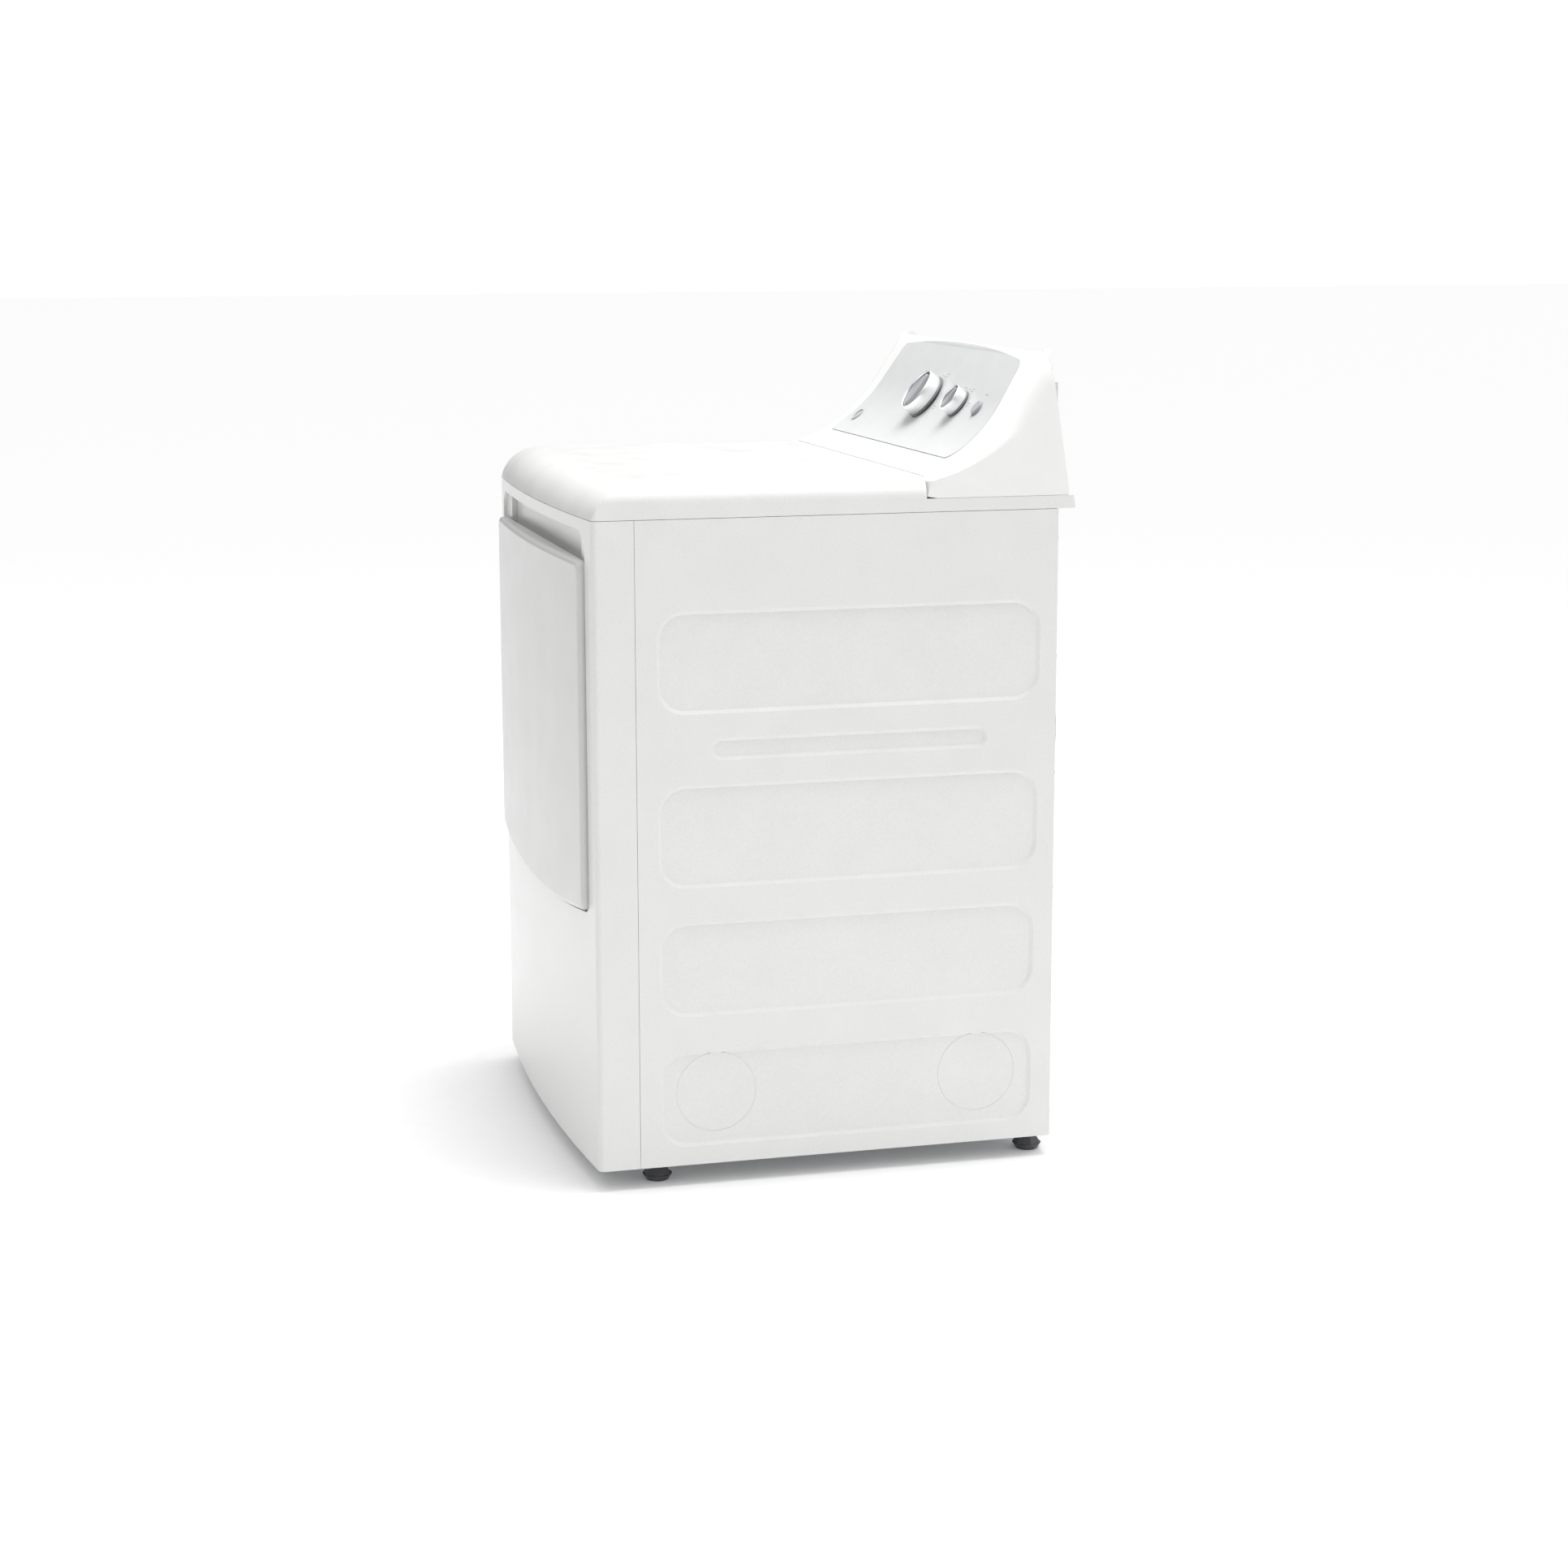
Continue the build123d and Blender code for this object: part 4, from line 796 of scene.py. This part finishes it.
place_piece("faceplate_scales", close_mesh("faceplate_scales", ink_shape), "cabinet", "faceplate",
            material=FINISH["ink"])

# %% [markdown]
# ## Badge and button surround
#
# A small round badge sits near the plate's lower left corner: a grey rolled rim round a bright
# blank disc. The start button comes up through a thin grey collar that hides the edge of its hole.

# %% Badge and collar
BADGE_X, BADGE_Z = -0.247, 0.988
badge_point, badge_normal = on_plate(BADGE_X, BADGE_Z)
badge_frame = axis_frame(badge_point, badge_normal)
turned("badge_rim",
       [(9.9, -0.3), (11.6, -0.3), (11.9, 0.6), (11.5, 1.5), (10.8, 1.9), (10.2, 1.5), (9.9, 0.7)],
       badge_frame, "cabinet", "knob_grey", steps=64)
turned("badge_disc", [(0, -0.3), (9.9, -0.3), (9.9, 0.5), (7.0, 0.9), (3.5, 1.1), (0, 1.15)],
       badge_frame, "cabinet", "knob_chrome", steps=64)
START = JOINTS["start_press"]
button_point, button_normal = on_plate(START_X + 0.0122, START_Z)
collar_base = Vector((START_X, button_point.y, button_point.z))
turned("start_collar",
       [(10.75, -0.3), (12.4, -0.3), (12.4, 0.5), (12.0, 0.9), (11.1, 0.9), (10.75, 0.6)],
       axis_frame(collar_base, -Vector(START["axis"])), "cabinet", "knob_grey", steps=72)
print("badge at", [round(value, 3) for value in badge_point])

# %% [markdown]
# ## The idler's spring
#
# The belt is kept tight by an extension spring between the idler arm's tail and the motor bracket.
# It is drawn as what it is, wire wound into a close helix with a hook at each end. One end moves
# with the arm, but here the spring is put on neither body and stays where it was drawn.

# %% Wind the spring
spring_low, spring_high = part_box("idler_spring")
middle_y = (spring_low.y + spring_high.y) / 2
arm_end = Vector((spring_low.x + 0.0025, middle_y, spring_low.z + 0.0037))
pin_end = Vector((spring_high.x - 0.0025, middle_y, spring_high.z - 0.0037))
spring_frame = axis_frame(arm_end, pin_end - arm_end, (0, 1, 0))
spring_length = (pin_end - arm_end).length
SPRING_WIRE = 0.0011
SPRING_RADIUS = 0.0039
HOOK = 0.006
STEPS_A_TURN = 14
turns = int((spring_length - 2 * HOOK) / (SPRING_WIRE * 1.35))
coil = [spring_frame @ Vector((0, 0, -0.0005 + 0.001 * i)) for i in range(5)]
for i in range(turns * STEPS_A_TURN + 1):
    angle = 2 * math.pi * i / STEPS_A_TURN
    rise = HOOK + (spring_length - 2 * HOOK) * i / (turns * STEPS_A_TURN)
    coil.append(spring_frame @ Vector((SPRING_RADIUS * math.cos(angle),
                                       SPRING_RADIUS * math.sin(angle), rise)))
coil += [spring_frame @ Vector((0, 0, spring_length - 0.0035 + 0.001 * i)) for i in range(5)]
spring = wire("idler_spring_coil", coil, SPRING_WIRE, None, "zinc_hardware", ("idler_spring",))
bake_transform(spring)
print("spring turns", turns)

# %% [markdown]
# ## The heating coils
#
# Two rings of resistance wire carry the heat. Each is a long close helix bent into a ring and open
# at the top, where its ends go to the terminals. The helix is worked out by one loop: an angle
# round the ring, and a faster angle round the coil.

# %% Wind the heater
coil_low, coil_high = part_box("heater_coil")
drum_axis_z = JOINTS["drum_spin"]["pos_m"][2]
coil_centre = Vector((0, (coil_low.y + coil_high.y) / 2, drum_axis_z))
COIL_RADIUS = (coil_high.y - coil_low.y) / 2 - 0.0005
COIL_WIRE, COIL_PITCH = 0.0009, 0.0042
RING_SPACING, HALF_GAP = 0.022, 0.010
COIL_STEPS = 10
outer_ring = coil_high.x - (coil_high.y - coil_low.y) / 2
for name, ring_radius, stands_for in (("heater_outer_coil", outer_ring, ("heater_coil",)),
                                      ("heater_inner_coil", outer_ring - RING_SPACING, ())):
    gap = HALF_GAP / ring_radius
    turns = int((2 * math.pi - 2 * gap) * ring_radius / COIL_PITCH)
    points = []
    for i in range(turns * COIL_STEPS + 1):
        round_ring = math.pi / 2 + gap + (2 * math.pi - 2 * gap) * i / (turns * COIL_STEPS)
        round_coil = 2 * math.pi * i / COIL_STEPS
        out = ring_radius + COIL_RADIUS * math.cos(round_coil)
        points.append(coil_centre + Vector((out * math.cos(round_ring),
                                            COIL_RADIUS * math.sin(round_coil),
                                            out * math.sin(round_ring))))
    wire(name, points, COIL_WIRE, "cabinet", "heater_wire", stands_for)
    print(name, turns, "turns")

# %% [markdown]
# ## Screws in the back
#
# The back is held by hex-washer sheet-metal screws. A real head is cold formed: a round flange, a
# hexagon that is rounded off at its top, and a dimple where the punch pressed it.

# %% Form the screw heads
screw_low, screw_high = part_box("rear_screws")
HEX_HALF = 0.0046
SCREW_ROWS = 6
screw_xs = (screw_low.x + HEX_HALF, screw_high.x - HEX_HALF)
head_y = screw_high.y - 0.003
first_z = screw_low.z + HEX_HALF * math.cos(math.radians(30))
last_z = screw_high.z - HEX_HALF * math.cos(math.radians(30))
screws = bmesh.new()
for x in screw_xs:
    for row in range(SCREW_ROWS):
        z = first_z + (last_z - first_z) * row / (SCREW_ROWS - 1)
        where = axis_frame((x, head_y, z), (0, 1, 0))
        spin(screws, [(0.0, -0.006), (0.0017, -0.0055), (0.0017, -0.0002), (0.0053, 0.0),
                      (0.0056, 0.0005), (0.0050, 0.0009), (0.0, 0.0009)], where, 24)
        spin(screws, [(0.0, 0.0008), (0.0044, 0.0008), (0.0044, 0.0024), (0.0038, 0.0029),
                      (0.0022, 0.0029), (0.0014, 0.0025), (0.0, 0.0025)], where, 6)
place_piece("rear_screw_heads", close_mesh("rear_screw_heads", screws, 40), "cabinet",
            "zinc_hardware", ("rear_screws",))
print("screws", len(screw_xs) * SCREW_ROWS)

# %% [markdown]
# ## Floor
#
# The machine stands on a pale matt floor, wide enough that its edge is lost in the distance. Light
# passes through a lit backdrop as well as falling on it, so the paint has a very weak glow of its
# own and stays white far from the lamp.

# %% Floor
FLOOR_HALF = 40.0
FLOOR_GLOW = 0.08
floor_shape = bmesh.new()
bmesh.ops.create_grid(floor_shape, x_segments=8, y_segments=8, size=FLOOR_HALF)
floor_mesh = bpy.data.meshes.new("floor")
floor_shape.to_mesh(floor_mesh)
floor_shape.free()
floor = bpy.data.objects.new("floor", floor_mesh)
bpy.context.scene.collection.objects.link(floor)
floor_paint = grained("studio floor, matt paint", "#F6F6F6", "#F4F4F4", 0.9, 6.0, 0.1)
floor_sockets = floor_paint.node_tree.nodes["Principled BSDF"].inputs
floor_sockets["Emission Color"].default_value = linear("#FFFFFF")
floor_sockets["Emission Strength"].default_value = FLOOR_GLOW
floor_mesh.materials.append(floor_paint)
print("floor at", floor.location.z)

# %% [markdown]
# ## Sky and soft box
#
# The room itself is the lamp: a sky that is brightest overhead and fades to the horizon, a little
# weaker from the side and weaker still from in front, so that the top, the side and the front of
# the machine read as three different whites. What is seen behind the machine is plain white paper.
# One large soft box hangs above the machine and gives the soft shadows under the knobs.

# %% Sky and soft box
OVERHEAD, HORIZON = 1.22, 0.175
SIDE_FALL, BACK_RISE = -0.04, 0.25
PAPER = 1.05
BOX_WIDTH, BOX_DEPTH, BOX_WATTS = 1.8, 1.4, 60.0
world = bpy.data.worlds.new("studio")
world.use_nodes = True
sky = world.node_tree
sky.nodes.clear()
heading = add(sky, "ShaderNodeTexCoord")
parts = add(sky, "ShaderNodeSeparateXYZ", None, {"Vector": heading.outputs["Generated"]})
above = add(sky, "ShaderNodeMath", {1: 0.0}, {0: parts.outputs["Z"]}, operation="MAXIMUM")
overhead = add(sky, "ShaderNodeMath", {1: OVERHEAD, 2: HORIZON}, {0: above.outputs[0]},
               operation="MULTIPLY_ADD")
sideways = add(sky, "ShaderNodeMath", {1: SIDE_FALL}, {0: parts.outputs["X"], 2: overhead.outputs[0]},
               operation="MULTIPLY_ADD")
backward = add(sky, "ShaderNodeMath", {1: BACK_RISE}, {0: parts.outputs["Y"], 2: sideways.outputs[0]},
               operation="MULTIPLY_ADD")
lamp = add(sky, "ShaderNodeBackground", {"Color": (1, 1, 1, 1)}, {"Strength": backward.outputs[0]})
paper = add(sky, "ShaderNodeBackground", {"Color": (1, 1, 1, 1), "Strength": PAPER})
seen = add(sky, "ShaderNodeLightPath")
mixed = add(sky, "ShaderNodeMixShader", None,
            {0: seen.outputs["Is Camera Ray"], 1: lamp.outputs[0], 2: paper.outputs[0]})
add(sky, "ShaderNodeOutputWorld", None, {"Surface": mixed.outputs[0]})
bpy.context.scene.world = world

box_data = bpy.data.lights.new("soft_box", "AREA")
box_data.shape = "RECTANGLE"
box_data.size = BOX_WIDTH
box_data.size_y = BOX_DEPTH
box_data.energy = BOX_WATTS
soft_box = bpy.data.objects.new("soft_box", box_data)
bpy.context.scene.collection.objects.link(soft_box)
BOX_PLACE = Vector((0.25, 0.35, 3.3))
AIM_POINT = Vector((0.1, 0.0, 1.0))
box_turn = (AIM_POINT - BOX_PLACE).to_track_quat("-Z", "Y").to_matrix().to_4x4()
soft_box.matrix_world = Matrix.Translation(BOX_PLACE) @ box_turn
bpy.context.scene.view_settings.view_transform = "Standard"
print("lit")
